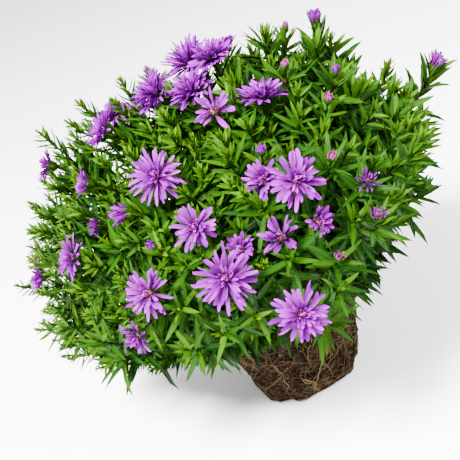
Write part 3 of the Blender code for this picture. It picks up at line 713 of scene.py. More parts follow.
def leaf_rows(shoots, heads, sizes):
    """Where and how each leaf grows, with the shoot it is on: small and upright at the tip, then spread.

    Leaves stand on a golden-angle spiral, at distances below the tip that grow with the square of
    their number. The tables give their length, width, angle and arch, which vigour and chance vary.
    Leaves are broader on the right, more upright on top, and drooping low down. A leaf is the older
    the further below its tip it is. Its age is raised too, and the leaf darkened, deep in the bush,
    which is painted shade, and on bold leaves away from the right and back, which is painted light and
    shade.
    """
    random = np.random.default_rng(23)
    lengths = np.array(shoots.lengths)
    headed = np.array([kind in ("bloom", "opening", "bud") for kind in shoots.kinds])
    top = lengths - np.where(headed, STRAIGHT_END, 0)
    main = np.array(shoots.foots) > MAIN_FOOT
    bare = lengths * np.where(main, BARE_MAIN, BARE_FINE)
    boldness = np.array(shoots.boldness)
    k = np.arange(MOST_LEAVES)
    fine_gap, bold_gap = 0.28 * k + 0.052 * k**2, 0.6 * k + 0.085 * k**2
    gap = (fine_gap + (bold_gap - fine_gap) * boldness[:, None]) * MM * sizes.leaf_spacing
    shoot, rank = np.nonzero(top[:, None] - gap > bare[:, None])
    below = np.maximum(0, gap[shoot, rank] + random.uniform(-0.5, 0.5, len(rank)) * MM)
    root, along = shoots.at(shoot, top[shoot] - below)
    bold = boldness[shoot]
    down = below + np.where(headed[shoot], 7 * MM, 0)
    vigour = np.array(shoots.vigours)[shoot] * random.uniform(0.84, 1.14, len(rank))
    length = blended(down, bold, 1) * MM * vigour * sizes.leaf_length
    aims = unit(np.array(shoots.paths)[:, -1] - CROWN)[shoot]
    broad = 1 + 0.45 * smooth(1.5 * aims[:, 0]) * smooth((aims[:, 1] + 0.55) / 0.5)
    width = blended(down, bold, 2) * MM * vigour**0.5 * broad * sizes.leaf_width
    upright = smooth((aims[:, 2] - 0.3) / 0.5) * np.clip(1 + 1.2 * aims[:, 1], 0, 1)
    held_in = np.array([kind == "opening" for kind in shoots.kinds])[shoot] * np.exp(-below / (25 * MM))
    lean = np.radians(blended(down, bold, 3)) * (1 - 0.3 * upright) * (1 - 0.5 * held_in)
    lean = lean + random.normal(0, 0.13, len(rank))
    arch = np.radians(blended(down, bold, 4)) + random.normal(0, 0.2, len(rank))
    side = crossways(along)
    spin = rank * GOLDEN + shoot * 1.7 + random.normal(0, 0.25, len(rank))
    out = swung(spin, side, np.cross(along, side))
    droop = smooth((0.42 - aims[:, 2]) / 0.3) * smooth(below / (18 * MM))
    lift = 0.3 - (0.15 + bold) * droop
    out = square_to(out + lift[:, None] * np.array([0, 0, 1.0]), along)
    # How deep in the bush each leaf stands, used below to darken it as painted shade
    outwards = unit(root - CROWN)
    turn, tilt = np.arctan2(outwards[:, 0], -outwards[:, 1]), np.arccos(outwards[:, 2])
    depth = 1 - np.linalg.norm(root - CROWN, axis=1) / reach_at(np.degrees(turn), np.degrees(tilt))
    named = np.array(shoots.named)[shoot]
    # Bold leaves are darkened, less on named shoots; towards the right and back they stay lighter: painted
    # light and shade
    darkening = 0.2 * bold * np.where(named, 0.3, 1) * (1 - 0.7 * smooth(1.4 * aims[:, 0] + aims[:, 1] - 0.2))
    # Age darkens a leaf: real age below its tip, plus painted shade deep in the bush and the darkening
    # above
    age = below / ((105 - 45 * bold) * MM) + 0.05 + darkening + 2.2 * np.clip(depth - 0.14, 0, 1)
    rows = {
        "root": root, "along": along, "out": out, "lean": lean, "arch": arch,
        "length": length, "width": width, "age": np.clip(age, 0, 1),
        "chance": random.uniform(0, 1, len(rank)),
        "fold": random.uniform(0.25, 0.45 + 0.3 * bold),
        "twist": random.normal(0, 0.3, len(rank)),
        "sway": random.normal(0, 0.07, len(rank)),
        "roll": turned_to_light(root, along, out, lean + arch / 2) * (0.42 + 0.38 * bold),
    }
    keep = leaf_is_clear(rows, heads, named)
    return shoot[keep], {name: values[keep] for name, values in rows.items()}


def turned_to_light(root, along, out, lean):
    """How far each leaf rolls about its rib, so that its upper face looks up, out and to the front."""
    away = unit(root - CROWN)
    front = np.clip(0.8 - away[:, 1:2], 0.25, 1)
    light = unit(np.array([0, 0, 0.75]) + 0.4 * away + 0.75 * front * np.array([0, -1, 0]))
    side = unit(np.cross(along, out))
    upper = np.cross(swung(lean, along, out), side)
    turn = np.arctan2(-(light * side).sum(axis=1), (light * upper).sum(axis=1))
    return np.clip(turn, -1.4, 1.4)


def leaf_is_clear(rows, heads, named):
    """Whether each leaf keeps to the plant's box, off the floor, out of the ball and clear of the heads.

    Three points along the leaf are tried, as if it ran straight with half its arch. Above a head,
    a cylinder a little narrower than the head has to stay free, as high as the room says.
    """
    reach = swung(rows["lean"] + rows["arch"] / 2, rows["along"], rows["out"])
    shares = np.array([0.4, 0.7, 1])[:, None]
    samples = rows["root"][:, None] + reach[:, None] * rows["length"][:, None, None] * shares
    low, high = (np.array(corner) for corner in CAD_BOX)
    clear = ((samples > low - PAST_THE_BOX) & (samples < high + PAST_THE_BOX)).all(axis=(1, 2))
    clear &= (samples[..., 2] > OFF_THE_FLOOR).all(axis=1)
    from_axis = np.linalg.norm(samples[..., :2], axis=-1)
    inside = (from_axis < BALL_RIM_RADIUS + 2 * MM) & (samples[..., 2] < BALL_HEIGHT + 3 * MM)
    clear &= ~inside.any(axis=1)
    for _, kind, seat, facing, row in heads:
        radius = {"bloom": row[3] * MM / 2, "opening": row[3] * MM / 4, "bud": BUD_RADIUS}[kind]
        offset = samples - seat
        ahead = offset @ facing
        aside = np.linalg.norm(offset - ahead[..., None] * facing, axis=-1)
        room = np.where(named, NAMED_ROOM, OTHER_ROOM)[:, None] * radius
        clear &= ~((ahead > 0.5 * MM) & (ahead < room) & (aside < 0.86 * radius)).any(axis=1)
    return clear


def node(tree, kind, inputs=None, **settings):
    """Adds a shader node; an input is linked where it is given a socket, and set otherwise."""
    made = tree.nodes.new(kind)
    for name, value in settings.items():
        setattr(made, name, value)
    for name, value in (inputs or {}).items():
        if isinstance(value, bpy.types.NodeSocket):
            tree.links.new(value, made.inputs[name])
        else:
            made.inputs[name].default_value = value
    return made


def ramp(tree, factor, stops):
    """A colour ramp through (position, colour) stops."""
    made = node(tree, "ShaderNodeValToRGB", {"Fac": factor})
    elements = made.color_ramp.elements
    while len(elements) < len(stops):
        elements.new(0.5)
    for element, (position, colour) in zip(elements, stops):
        element.position = position
        element.color = (*colour, 1)
    return made.outputs["Color"]


def mixed(tree, factor, first, second):
    """Two colours blended; each is a socket or three numbers."""
    first, second = (
        colour if isinstance(colour, bpy.types.NodeSocket) else (*colour, 1) for colour in (first, second))
    made = node(tree, "ShaderNodeMix", data_type="RGBA")
    for index, value in ((0, factor), (6, first), (7, second)):
        if isinstance(value, bpy.types.NodeSocket):
            tree.links.new(value, made.inputs[index])
        else:
            made.inputs[index].default_value = value
    return made.outputs[2]


def number(tree, operation, *values, clamp=False):
    """One step of arithmetic on sockets or numbers."""
    made = node(tree, "ShaderNodeMath", dict(enumerate(values)), operation=operation, use_clamp=clamp)
    return made.outputs[0]


def group(name, inputs, outputs):
    """An empty node group with named sockets; returns it with its two ends."""
    made = bpy.data.node_groups.new(name, "ShaderNodeTree")
    for label, kind, value in inputs:
        socket = made.interface.new_socket(label, in_out="INPUT", socket_type=kind)
        if value is not None:
            socket.default_value = value
    for label, kind in outputs:
        made.interface.new_socket(label, in_out="OUTPUT", socket_type=kind)
    return made, made.nodes.new("NodeGroupInput"), made.nodes.new("NodeGroupOutput")


def mottling():
    """A group that puts out soft blotches over a surface, and a height that adds fine specks."""
    found = bpy.data.node_groups.get("mottling")
    if found:
        return found
    made, start, end = group(
        "mottling", [("Size", "NodeSocketFloat", 60.0), ("Specks", "NodeSocketFloat", 0.3)],
        [("Blotches", "NodeSocketFloat"), ("Height", "NodeSocketFloat")])
    place = node(made, "ShaderNodeTexCoord").outputs["Object"]
    size = start.outputs["Size"]
    wide = node(made, "ShaderNodeTexNoise", {"Vector": place, "Scale": size, "Detail": 3.0})
    fine_size = number(made, "MULTIPLY", size, 9.0)
    fine = node(made, "ShaderNodeTexNoise", {"Vector": place, "Scale": fine_size, "Detail": 2.0})
    blend = number(made, "MULTIPLY", fine.outputs["Fac"], start.outputs["Specks"])
    made.links.new(number(made, "ADD", wide.outputs["Fac"], blend), end.inputs["Height"])
    made.links.new(wide.outputs["Fac"], end.inputs["Blotches"])
    return made


def ribbing():
    """A group for blades: a mask of the midrib, the height of the ribs, and the place along the blade."""
    found = bpy.data.node_groups.get("ribbing")
    if found:
        return found
    made, start, end = group(
        "ribbing", [("Ribs", "NodeSocketFloat", 4.0), ("Midrib", "NodeSocketFloat", 0.06)],
        [("Midrib", "NodeSocketFloat"), ("Height", "NodeSocketFloat"), ("Along", "NodeSocketFloat")])
    uv = node(made, "ShaderNodeSeparateXYZ", {"Vector": node(made, "ShaderNodeTexCoord").outputs["UV"]})
    off = number(made, "ABSOLUTE", number(made, "SUBTRACT", uv.outputs["X"], 0.5))
    near = number(made, "DIVIDE", off, start.outputs["Midrib"])
    mask = number(made, "SUBTRACT", 1.0, near, clamp=True)
    turns = number(made, "MULTIPLY", start.outputs["Ribs"], math.tau)
    wave = number(made, "SINE", number(made, "MULTIPLY", off, turns))
    made.links.new(mask, end.inputs["Midrib"])
    made.links.new(number(made, "SUBTRACT", wave, mask), end.inputs["Height"])
    made.links.new(uv.outputs["Y"], end.inputs["Along"])
    return made


def scaled(tree, value, times, plus=0.0):
    """A value times a number, plus another."""
    return number(tree, "MULTIPLY_ADD", value, times, plus)


def shaded(tree, colour, value, hue=0.5):
    """A colour with its brightness times value, and its hue turned by how far hue is from 0.5."""
    made = node(tree, "ShaderNodeHueSaturation", {"Color": colour, "Value": value, "Hue": hue})
    return made.outputs["Color"]


def finish(name, roughness, gloss=0.03):
    """A new, nearly matt material, its nodes, and the age, chance and underside of its blades."""
    made = bpy.data.materials.new(name)
    made.use_nodes = True
    tree = made.node_tree
    shader = tree.nodes["Principled BSDF"]
    shader.inputs["Roughness"].default_value = roughness
    shader.inputs["Specular IOR Level"].default_value = gloss
    traits = node(tree, "ShaderNodeAttribute", attribute_name="traits")
    split = node(tree, "ShaderNodeSeparateXYZ", {"Vector": traits.outputs["Vector"]})
    return made, tree, [split.outputs[axis] for axis in "XYZ"]


def covered(tree, colour, height, strength, distance):
    """Gives a material its colour, and a bump from a height, at most distance metres high."""
    shader = tree.nodes["Principled BSDF"]
    tree.links.new(colour, shader.inputs["Base Color"])
    raised = node(tree, "ShaderNodeBump", {"Height": height, "Strength": strength, "Distance": distance})
    tree.links.new(raised.outputs["Normal"], shader.inputs["Normal"])


def leaf_finish(colours):
    """Green blades: bright yellow-green when young, deep green when old and in painted shade, paler below
    and at the rib.
    """
    made, tree, (age, chance, under) = finish("aster_leaf", 0.42, 0.035)
    ribs = node(tree, "ShaderNodeGroup", {"Ribs": 3.0, "Midrib": 0.07}, node_tree=ribbing()).outputs
    spots = node(tree, "ShaderNodeGroup", node_tree=mottling()).outputs
    # The age ramp ends in the darkest green, both for old leaves and for painted shade deep in the bush
    body = ramp(tree, age, [(0.0, colours.young_leaf), (0.3, colours.leaf), (1.0, colours.old_and_shaded_leaf)])
    light = scaled(tree, chance, 0.8, 0.5)
    shade = number(tree, "MULTIPLY", light, scaled(tree, spots["Blotches"], 0.7, 0.65))
    body = shaded(tree, body, shade, scaled(tree, chance, -0.03, 0.514))
    body = mixed(tree, scaled(tree, ribs["Midrib"], 0.45), body, colours.young_leaf)
    below = number(tree, "GREATER_THAN", under, 0.5)
    body = mixed(tree, scaled(tree, below, 0.3), body, LEAF_UNDERSIDE)
    covered(tree, body, ribs["Height"], 0.35, 0.0006)
    return made


def stem_finish(colours):
    """Stems: green near the tips, brownish where they are old."""
    made, tree, (age, _, _) = finish("aster_stem", 0.6)
    spots = node(tree, "ShaderNodeGroup", {"Size": 160.0}, node_tree=mottling()).outputs
    body = ramp(tree, age, [(0.0, colours.leaf), (0.55, colours.old_and_shaded_leaf), (1.0, OLD_STEM)])
    body = shaded(tree, body, scaled(tree, spots["Blotches"], 0.9, 0.5))
    covered(tree, body, spots["Height"], 0.4, 0.0008)
    return made


def ray_finish(colours):
    """Rays: purple with fine ribs, paler below and in the inner rings, deeper at the midrib; painted shade
    at the foot.
    """
    made, tree, (age, chance, under) = finish("aster_ray", 0.5, 0.0)
    ribs = node(tree, "ShaderNodeGroup", {"Ribs": 5.0, "Midrib": 0.05}, node_tree=ribbing()).outputs
    spots = node(tree, "ShaderNodeGroup", {"Size": 110.0}, node_tree=mottling()).outputs
    stops = [(0.0, colours.ray), (0.2, colours.ray), (0.8, colours.inner_ray), (1.0, DRY_RAY)]
    body = ramp(tree, age, stops)
    # Painted shade: each ray darkens towards its foot in the middle of the head
    foot = number(tree, "SUBTRACT", 1.0, scaled(tree, ribs["Along"], 1.5), clamp=True)
    body = mixed(tree, scaled(tree, foot, 0.75), body, RAY_FOOT_SHADE)
    body = mixed(tree, scaled(tree, ribs["Midrib"], 0.5), body, RAY_LINE)
    below = number(tree, "GREATER_THAN", under, 0.5)
    body = mixed(tree, scaled(tree, below, 0.3), body, RAY_UNDERSIDE)
    shade = scaled(tree, spots["Blotches"], 0.5, scaled(tree, chance, 0.8, 0.22))
    # Painted light and shade: each ray is darker near its foot and lighter towards its end
    shade = number(tree, "MULTIPLY", shade, scaled(tree, ribs["Along"], 0.9, 0.5))
    body = shaded(tree, body, shade, scaled(tree, chance, 0.02, 0.49))
    covered(tree, body, ribs["Height"], 0.3, 0.0005)
    return made


def heart_finish(colours):
    """The middle of a head: florets with purplish feet and tan to orange tips, dark where it faded."""
    made, tree, (age, chance, _) = finish("aster_heart", 0.6)
    ribs = node(tree, "ShaderNodeGroup", node_tree=ribbing()).outputs
    tip = mixed(tree, chance, colours.heart, FLORET_TIP)
    body = mixed(tree, age, mixed(tree, ribs["Along"], FLORET_FOOT, tip), FADED_HEART)
    covered(tree, body, ribs["Height"], 0.2, 0.0004)
    return made


def soil_finish(colours):
    """Dark peat, crumbly, with pale fibres caught in it."""
    made, tree, _ = finish("aster_soil", 0.95)
    spots = node(tree, "ShaderNodeGroup", {"Size": 90.0, "Specks": 0.8}, node_tree=mottling()).outputs
    place = node(tree, "ShaderNodeTexCoord").outputs["Object"]
    crumbs = node(tree, "ShaderNodeTexVoronoi", {"Vector": place, "Scale": 420.0}).outputs
    body = ramp(tree, spots["Blotches"], [(0.32, DAMP_SOIL), (0.52, colours.soil), (0.72, DRY_SOIL)])
    threads = {"Vector": place, "Scale": 300.0, "Detail": 4.0, "Distortion": 2.0}
    pale = node(tree, "ShaderNodeTexNoise", threads).outputs
    fibre = ramp(tree, pale["Fac"], [(0.56, (0, 0, 0)), (0.66, (1, 1, 1))])
    body = mixed(tree, scaled(tree, fibre, 0.4), body, colours.root)
    covered(tree, body, scaled(tree, crumbs["Distance"], 1.4, spots["Height"]), 0.9, 0.0016)
    return made


def root_finish(colours):
    """Roots: tan to nearly as dark as the soil, each its own shade, blotched, and darker with age and
    painted shade.
    """
    made, tree, (age, chance, _) = finish("aster_root", 0.75)
    spots = node(tree, "ShaderNodeGroup", {"Size": 140.0}, node_tree=mottling()).outputs
    body = mixed(tree, chance, colours.root, DARK_ROOT)
    # The age mix darkens old roots, and with it the painted shade of roots high on the ball
    body = mixed(tree, scaled(tree, age, 0.75), body, OLD_AND_SHADED_ROOT)
    body = shaded(tree, body, scaled(tree, spots["Blotches"], 1.3, 0.2))
    covered(tree, body, spots["Height"], 0.5, 0.0006)
    return made


def ball_radius(height):
    """The ball's plain radius at each height: the pot's tapered side with rounded edges."""
    heights = np.array([0, 2.5, 8, 80, 84, 86]) * MM
    radii = [BALL_FOOT_RADIUS, BALL_BASE_RADIUS - 3 * MM, BALL_BASE_RADIUS, BALL_RIM_RADIUS,
             BALL_RIM_RADIUS - 2 * MM, BALL_RIM_RADIUS * 0.87]
    return np.interp(height, heights, radii)


def ball_relief(angle, height):
    """How far the side stands out: a slumped outline, and crossing ridges where roots run."""
    share = height / BALL_HEIGHT
    first = abs(np.sin(4 * angle + 4.2 * share + 0.8 * np.sin(3 * angle)))
    second = abs(np.sin(3.5 * angle - 5.1 * share + 0.6 * np.sin(4 * angle + 2)))
    slump = 1.6 * np.sin(2 * angle + 0.7) + 1.1 * np.sin(3 * angle + 2.1)
    ridges = ROOT_RELIEF * (1 - 1.6 * np.minimum(first, second))
    fade = smooth(height / (3 * MM)) * smooth((BALL_HEIGHT - height) / (3 * MM))
    return (ridges + slump * MM * (0.4 + 0.6 * share)) * fade


def ball_skin():
    """Soil: rings up the side, raised by the relief and by crumbs, closed over the top and below."""
    angle = np.arange(SOIL_SIDES) * math.tau / SOIL_SIDES
    height = np.linspace(0, BALL_HEIGHT, SOIL_ROWS)[:, None]
    radius = ball_radius(height) + ball_relief(angle, height)
    side = together(radius * np.cos(angle), radius * np.sin(angle), height)
    out = side * [1, 1, 0] / radius[..., None]
    crumbs = 0.9 * noise(side, 5 * MM, 1) + 0.55 * noise(side, 2.2 * MM, 2)
    crumbs = crumbs + 0.3 * noise(side, 1.1 * MM, 3)
    fade = smooth(height / (2 * MM))
    side = side + out * (crumbs * fade)[..., None] * MM
    shares = np.linspace(1, 0.02, SOIL_TOP_RINGS)[1:, None, None]
    top = side[-1][None] * [1, 1, 0] * shares
    bumps = 1.6 * noise(top, 9 * MM, 4) + 0.8 * noise(top, 3 * MM, 5)
    level = BALL_HEIGHT - 0.6 * MM + 0.5 * bumps * MM
    top = np.concatenate([top[..., :2], level[..., None]], axis=-1)
    bottom = side[0][None] * np.array([0.03, 0.5])[:, None, None]
    skin = Skin()
    rings = np.concatenate([bottom, side, top])
    share = np.linspace(0, 1, len(rings))[:, None]
    uv = together(np.arange(SOIL_SIDES) / SOIL_SIDES, share)
    skin.add(rings[None], uv, np.zeros(3), np.array(False))
    return skin


def root_skin(sizes):
    """Roots that wander over the ball, close on the soil: drifting round it and dropping down it.

    Three sines of random height and start bend each root. High roots count as older and so are darker,
    which is painted shade under the foliage.
    """
    random = np.random.default_rng(31)
    skin = Skin()
    for count, rings, thick, steep in ROOT_KINDS:
        t = np.linspace(0, 1, rings)
        start = random.uniform(0, math.tau, count)[:, None]
        top = random.uniform(0.25, 0.99, count)[:, None]
        if steep < 0.3:
            top = top**1.8 * 0.6
        drop = random.uniform(0.25, 0.95, count)[:, None] * steep
        drift = random.normal(0, 0.55, count)[:, None] * (1.8 - steep)
        wave = []
        for beats in (2, 4.3, 8.1):
            swing = random.normal(0, 1, (count, 1))
            begun = random.uniform(0, 6, (count, 1))
            wave.append(swing * np.sin(t * math.pi * beats + begun) / beats)
        angle = start + drift * t + 0.16 * sum(wave)
        height = top - drop * t + 0.05 * (wave[2] - wave[1])
        height = BALL_HEIGHT * np.clip(height, 0.035, 0.975)
        radius = ball_radius(height) + ball_relief(angle, height)
        thickness = thick * MM * random.uniform(0.6, 1.25, (count, 1)) * (1 - 0.55 * t)
        radius = radius + 0.35 * MM + 0.5 * thickness + 0.35 * MM * wave[0]
        path = together(radius * np.cos(angle), radius * np.sin(angle), height)
        # Painted shade: roots high on the ball get a higher age, which darkens them as if under the
        # foliage
        high = 1.5 * np.clip(height.mean(axis=1) / BALL_HEIGHT - 0.5, 0, 1)
        age = np.clip(random.uniform(0, 1, count) ** 2 + high, 0, 1)
        tubes(skin, path, thickness * sizes.root_thickness, age, random.uniform(0, 1, count), sides=4)
    return skin


def stem_skins(shoots, heads):
    """Stems: round tubes along each shoot, thinner to the tip, with the cups of heads and the buds."""
    skins = {}
    paths = np.array(shoots.paths)
    foots = np.array(shoots.foots)
    stems = np.array(shoots.stems)
    headed = np.array([kind in ("bloom", "opening") for kind in shoots.kinds])
    share = np.linspace(0, 1, shoots.RINGS)
    random = np.random.default_rng(41)
    for stem in np.unique(stems):
        mine = np.flatnonzero(stems == stem)
        skin = skins[stem] = Skin()
        path = paths[mine].copy()
        last = np.where(headed[mine], CALYX_HEIGHT * 0.8, 0)[:, None]
        path[:, -1] -= unit(path[:, -1] - path[:, -2]) * last
        radius = foots[mine][:, None] + (TIP_RADIUS * 0.7 - foots[mine][:, None]) * share**0.8
        age = np.where(foots[mine] > TRUNK_FOOT, 0.95, np.where(foots[mine] > MAIN_FOOT, 0.6, 0.3))
        chance = random.uniform(0, 1, len(mine))
        thin = foots[mine] < MAIN_FOOT
        for chosen, step, sides in ((~thin, 1, 6), (thin, 3, 4)):
            tubes(skin, path[chosen][:, ::step], radius[chosen][:, ::step],
                  age[chosen], chance[chosen], sides)
    for shoot, kind, seat, facing, _ in heads:
        skin = skins[shoots.stems[shoot]]
        if kind == "bud":
            turned_form(skin, seat, facing, BUD_FORM, 0.1, 0.5)
        else:
            turned_form(skin, seat - facing * CALYX_HEIGHT, facing, CALYX_FORM, 0.1, 0.5)
    return skins


def turned_form(skin, foot, facing, form, age, chance, scale=1):
    """Adds one round form: radii at heights along the facing, in mm, with the radii scaled."""
    heights, radii = (np.array(values) for values in form)
    path = foot + facing * heights[:, None] * MM
    tubes(skin, path[None], radii[None] * scale * MM, age, chance, sides=12)


def around(facing, spin):
    """Directions square to facing, turned about it by each angle."""
    side = crossways(facing[None])[0]
    return swung(spin, side, np.cross(facing, side))


def whorl(skin, seat, facing, spin, level, away, *shape, **bends):
    """Adds blades round a facing: each turned by its spin, at its level and so far from the middle."""
    out = around(facing, spin)
    root = seat + facing * level[:, None] + out * away[:, None]
    blades(skin, root, facing, out, *shape, **bends)


def bracts(skin, seat, facing, kind, random):
    """Narrow green bracts in three rows that clasp a calyx or a bud."""
    count = 33
    k = np.arange(count)
    row = k // 11
    bud = kind == "bud"
    level = (row * (1.2 if bud else 1.3) - (-0.6 if bud else CALYX_HEIGHT / MM - 0.8)) * MM
    radius = np.array([1.4, 2.2, 2.7] if bud else [1.9, 2.9, 3.5])[row] * MM
    size = np.array([3.6, 3.8, 3.4] if bud else [6.5, 6.5, 7.0])[row] * MM
    length = size * random.uniform(0.85, 1.2, count)
    lean = np.radians(np.array([38, 22, 12])[row] + random.normal(0, 8, count))
    lean = lean * (1.4 if kind == "bloom" else 1)
    arch = np.radians(np.where(row == 0, 25, -14) + (0 if kind == "bloom" else -22))
    age = random.uniform(0.1, 0.5, count)
    chance = random.uniform(0, 1, count)
    whorl(skin, seat, facing, k * GOLDEN + row * 0.3, level, radius, lean, arch, length,
          BRACT_WIDTH, age, chance, lance, BRACT_STATIONS, BRACT_THICKNESS, 0.4)


def bud_petals(skin, seat, facing, purple, random):
    """The tuft at the end of a closed bud: short petals that close over its top, purple or tan."""
    count = 30
    k = np.arange(count)
    ring = k // 10
    radius = np.array([2.3, 1.6, 0.8])[ring] * MM
    lean = np.radians(np.array([26, 16, 6])[ring] + random.normal(0, 9, count))
    arch = np.radians(np.array([-50, -34, -10])[ring] + random.normal(0, 14, count))
    length = np.array([4.6, 4.8, 4.4])[ring] * MM * random.uniform(0.8, 1.2, count)
    age = 0.1 if purple else 1.0
    chance = random.uniform(0, 1, count) * (0.5 if purple else 1) - 0.1
    whorl(skin, seat, facing, k * GOLDEN, (3.6 + 0.6 * ring) * MM, radius, lean, arch, length,
          BRACT_WIDTH, age, chance, strap, BRACT_STATIONS, TUFT_THICKNESS, 0.3)


def ray_rings(kind, full, ray_width, withered):
    """Rings of rays: (count, share of the radius, share of the spread, arch, width share, age).

    Half-open and withered heads have three rings. An open head has six, fuller with its fullness,
    and above a fullness of 1 the inner rings rise into a dome.
    """
    if kind == "opening":
        return [
            (12, 0.8, 1.4, 0.1, 1.15, 0.4),
            (10, 0.92, 0.9, 0.0, 1.1, 0.4),
            (8, 0.9, 0.3, 0.0, 1.0, 0.5),
        ]
    if withered > 0.5:
        return [
            (11, 1.0, 1.0, 0.3, 0.9, 0.1),
            (9, 0.7, 0.7, 0.2, 0.8, 0.3),
            (10, 0.45, 0.4, 0.1, 0.8, 0.5),
        ]
    outer = int(58 / ray_width * (0.55 + 0.45 * min(1, full)))
    dome = min(1, max(0, full - 1) / 0.2)
    return [
        (outer, 1.0, 1.03 + 0.15 * dome, 0.14, 1.0, 0.0),
        (int(outer * 0.95 * full) + 1, 0.88 + 0.12 * dome, 0.92, 0.12, 0.95, 0.0),
        (int(outer * 0.85 * full) + 1, 0.74 + 0.24 * dome, 0.78, 0.05, 0.9, 0.05),
        (int(outer * 0.75 * full) + 1, 0.58 + 0.34 * dome, 0.62, 0.3 * dome - 0.2, 0.8, 0.15),
        (int(outer * 0.6 * full) + 2, 0.42 + 0.38 * dome, 0.44, 0.5 * dome - 0.6, 0.66, 0.35 - 0.2 * dome),
        (int(8 * full) + 3, 0.3 + 0.36 * dome, 0.25, 0.7 * dome - 1.1, 0.5, 0.7 - 0.4 * dome),
    ]


def head_skins(kind, seat, facing, row, sizes, random):
    """One head: rings of rays round a small heart of florets, more upright ring by ring.

    The rays of domed heads are longer and wider. A share of an open head's rays, larger where it has
    withered, is narrow and pale. Withered and half-open heads have smaller, duller hearts.
    """
    rays, heart = Skin(), Skin()
    _, _, _, diameter, _, _, spread, full, ray_width, withered = row
    radius = diameter * MM / 2
    spread = math.radians(spread)
    start = random.uniform(0, math.tau)
    rings = ray_rings(kind, full, ray_width, withered)
    for ring, (count, reach, open_share, arch, wide, age) in enumerate(rings):
        spin = start + ring * 0.21 + (np.arange(count) + random.normal(0, 0.26, count)) * math.tau / count
        level = np.full(count, (0.5 + ring * 0.55) * MM)
        hub = (3.1 - 0.5 * ring) * MM if kind == "bloom" else (3.3 - 0.9 * ring) * MM
        away = np.full(count, max(hub, 0.6 * MM))
        lean = spread * open_share + random.normal(0, 0.13, count)
        bent = arch + random.normal(0, 0.32, count)
        reach_out = radius - hub if kind == "bloom" else radius * 2
        length = reach_out * reach * random.uniform(0.76, 1.1, count) * (1.16 if full > 1 else 1)
        if kind == "bloom" and ring == 0:
            length = length * (1 + 0.12 * (1 - math.sin(min(spread, 1.57))))
        width = ray_width * MM * sizes.ray_width * wide * random.uniform(0.78, 1.12, count)
        width = width * (1.25 if full > 1 else 1)
        if kind == "bloom":
            old = random.uniform(0, 1, count) < 0.07 + 0.2 * withered
            width, age = np.where(old, width * 0.5, width), np.where(old, 0.5, age)
        darkening = 0.6 if kind == "opening" else withered
        chance = random.uniform(0, 1, count) * (1 - darkening) - 0.25 * darkening
        whorl(rays, seat, facing, spin, level, away, lean, bent, length, width, age, chance,
              strap, RAY_STATIONS, RAY_THICKNESS, fold=random.uniform(0.3, 0.9, count),
              twist=random.normal(0, 0.4, count), sway=random.normal(0, 0.12, count))
    count = 22 if kind == "bloom" else 8
    k = np.arange(count)
    faded = 0.8 if kind == "opening" else min(1, 1.3 * withered)
    small = 1 - 0.4 * faded
    away = HEART_RADIUS * small * np.sqrt((k + 0.5) / count)
    lean = np.radians(6 + 22 * away / HEART_RADIUS) + random.normal(0, 0.15, count)
    arch = random.normal(0, 0.4, count)
    length = random.uniform(2.4, 3.8, count) * MM
    chance = random.uniform(0, 1, count)
    whorl(heart, seat, facing, k * GOLDEN, np.full(count, 0.6 * MM), away, lean, arch, length,
          FLORET_WIDTH, faded, chance, strap, BRACT_STATIONS, FLORET_THICKNESS, 0.2)
    turned_form(heart, seat, facing, HEART_FORM, faded, 0.0, small)
    return rays, heart


def share_property(name, description):
    """A share of the plant's own measure, 1 for the plant as it was grown."""
    return bpy.props.FloatProperty(name=name, description=description, default=1.0, subtype="FACTOR")


def count_property(name, description, default):
    """A whole number of things."""
    return bpy.props.IntProperty(name=name, description=description, default=default, subtype="UNSIGNED")


def colour_property(name, description, default):
    """A colour as the shader takes it, in linear light."""
    return bpy.props.FloatVectorProperty(
        name=name, description=description, default=default, subtype="COLOR", min=0, max=1)


class AsterSizes(bpy.types.PropertyGroup):
    """How large and how dense the plant's parts are"""

    leaf_length: share_property("Leaf length", "Length of the leaves, as a share")
    leaf_width: share_property("Leaf width", "Width of the leaves, as a share")
    leaf_spacing: share_property("Leaf spacing", "How far apart leaves stand on a shoot, as a share")
    finer_shoots: count_property("Finer shoots", "Most side shoots between the main ones", 1500)
    ray_width: share_property("Ray width", "Width of the rays, as a share")
    inner_shoots: count_property("Inner shoots", "Most short leafy shoots inside the bush", 230)
    root_thickness: share_property("Root thickness", "Thickness of the roots, as a share")


class AsterColours(bpy.types.PropertyGroup):
    """The plant's main colours"""

    young_leaf: colour_property("Young leaf", "Leaves at the tips", (0.032, 0.09, 0.0003))
    leaf: colour_property("Leaf", "Leaves a little below the tips", (0.005, 0.028, 0.0006))
    # The darkest leaf green, for old leaves and for painted shade deep in the bush
    old_and_shaded_leaf: colour_property("Old leaf", "Leaves inside the bush", (0.0008, 0.008, 0.0005))
    ray: colour_property("Ray", "Outer rays", (0.124, 0.0, 0.176))
    inner_ray: colour_property("Inner ray", "Short rays in the middle", (0.3, 0.006, 0.33))
    heart: colour_property("Heart", "Florets in the middle", (0.2, 0.075, 0.03))
    soil: colour_property("Soil", "Peat of the root ball", (0.003, 0.0011, 0.0005))
    root: colour_property("Root", "Palest roots", (0.098, 0.064, 0.032))


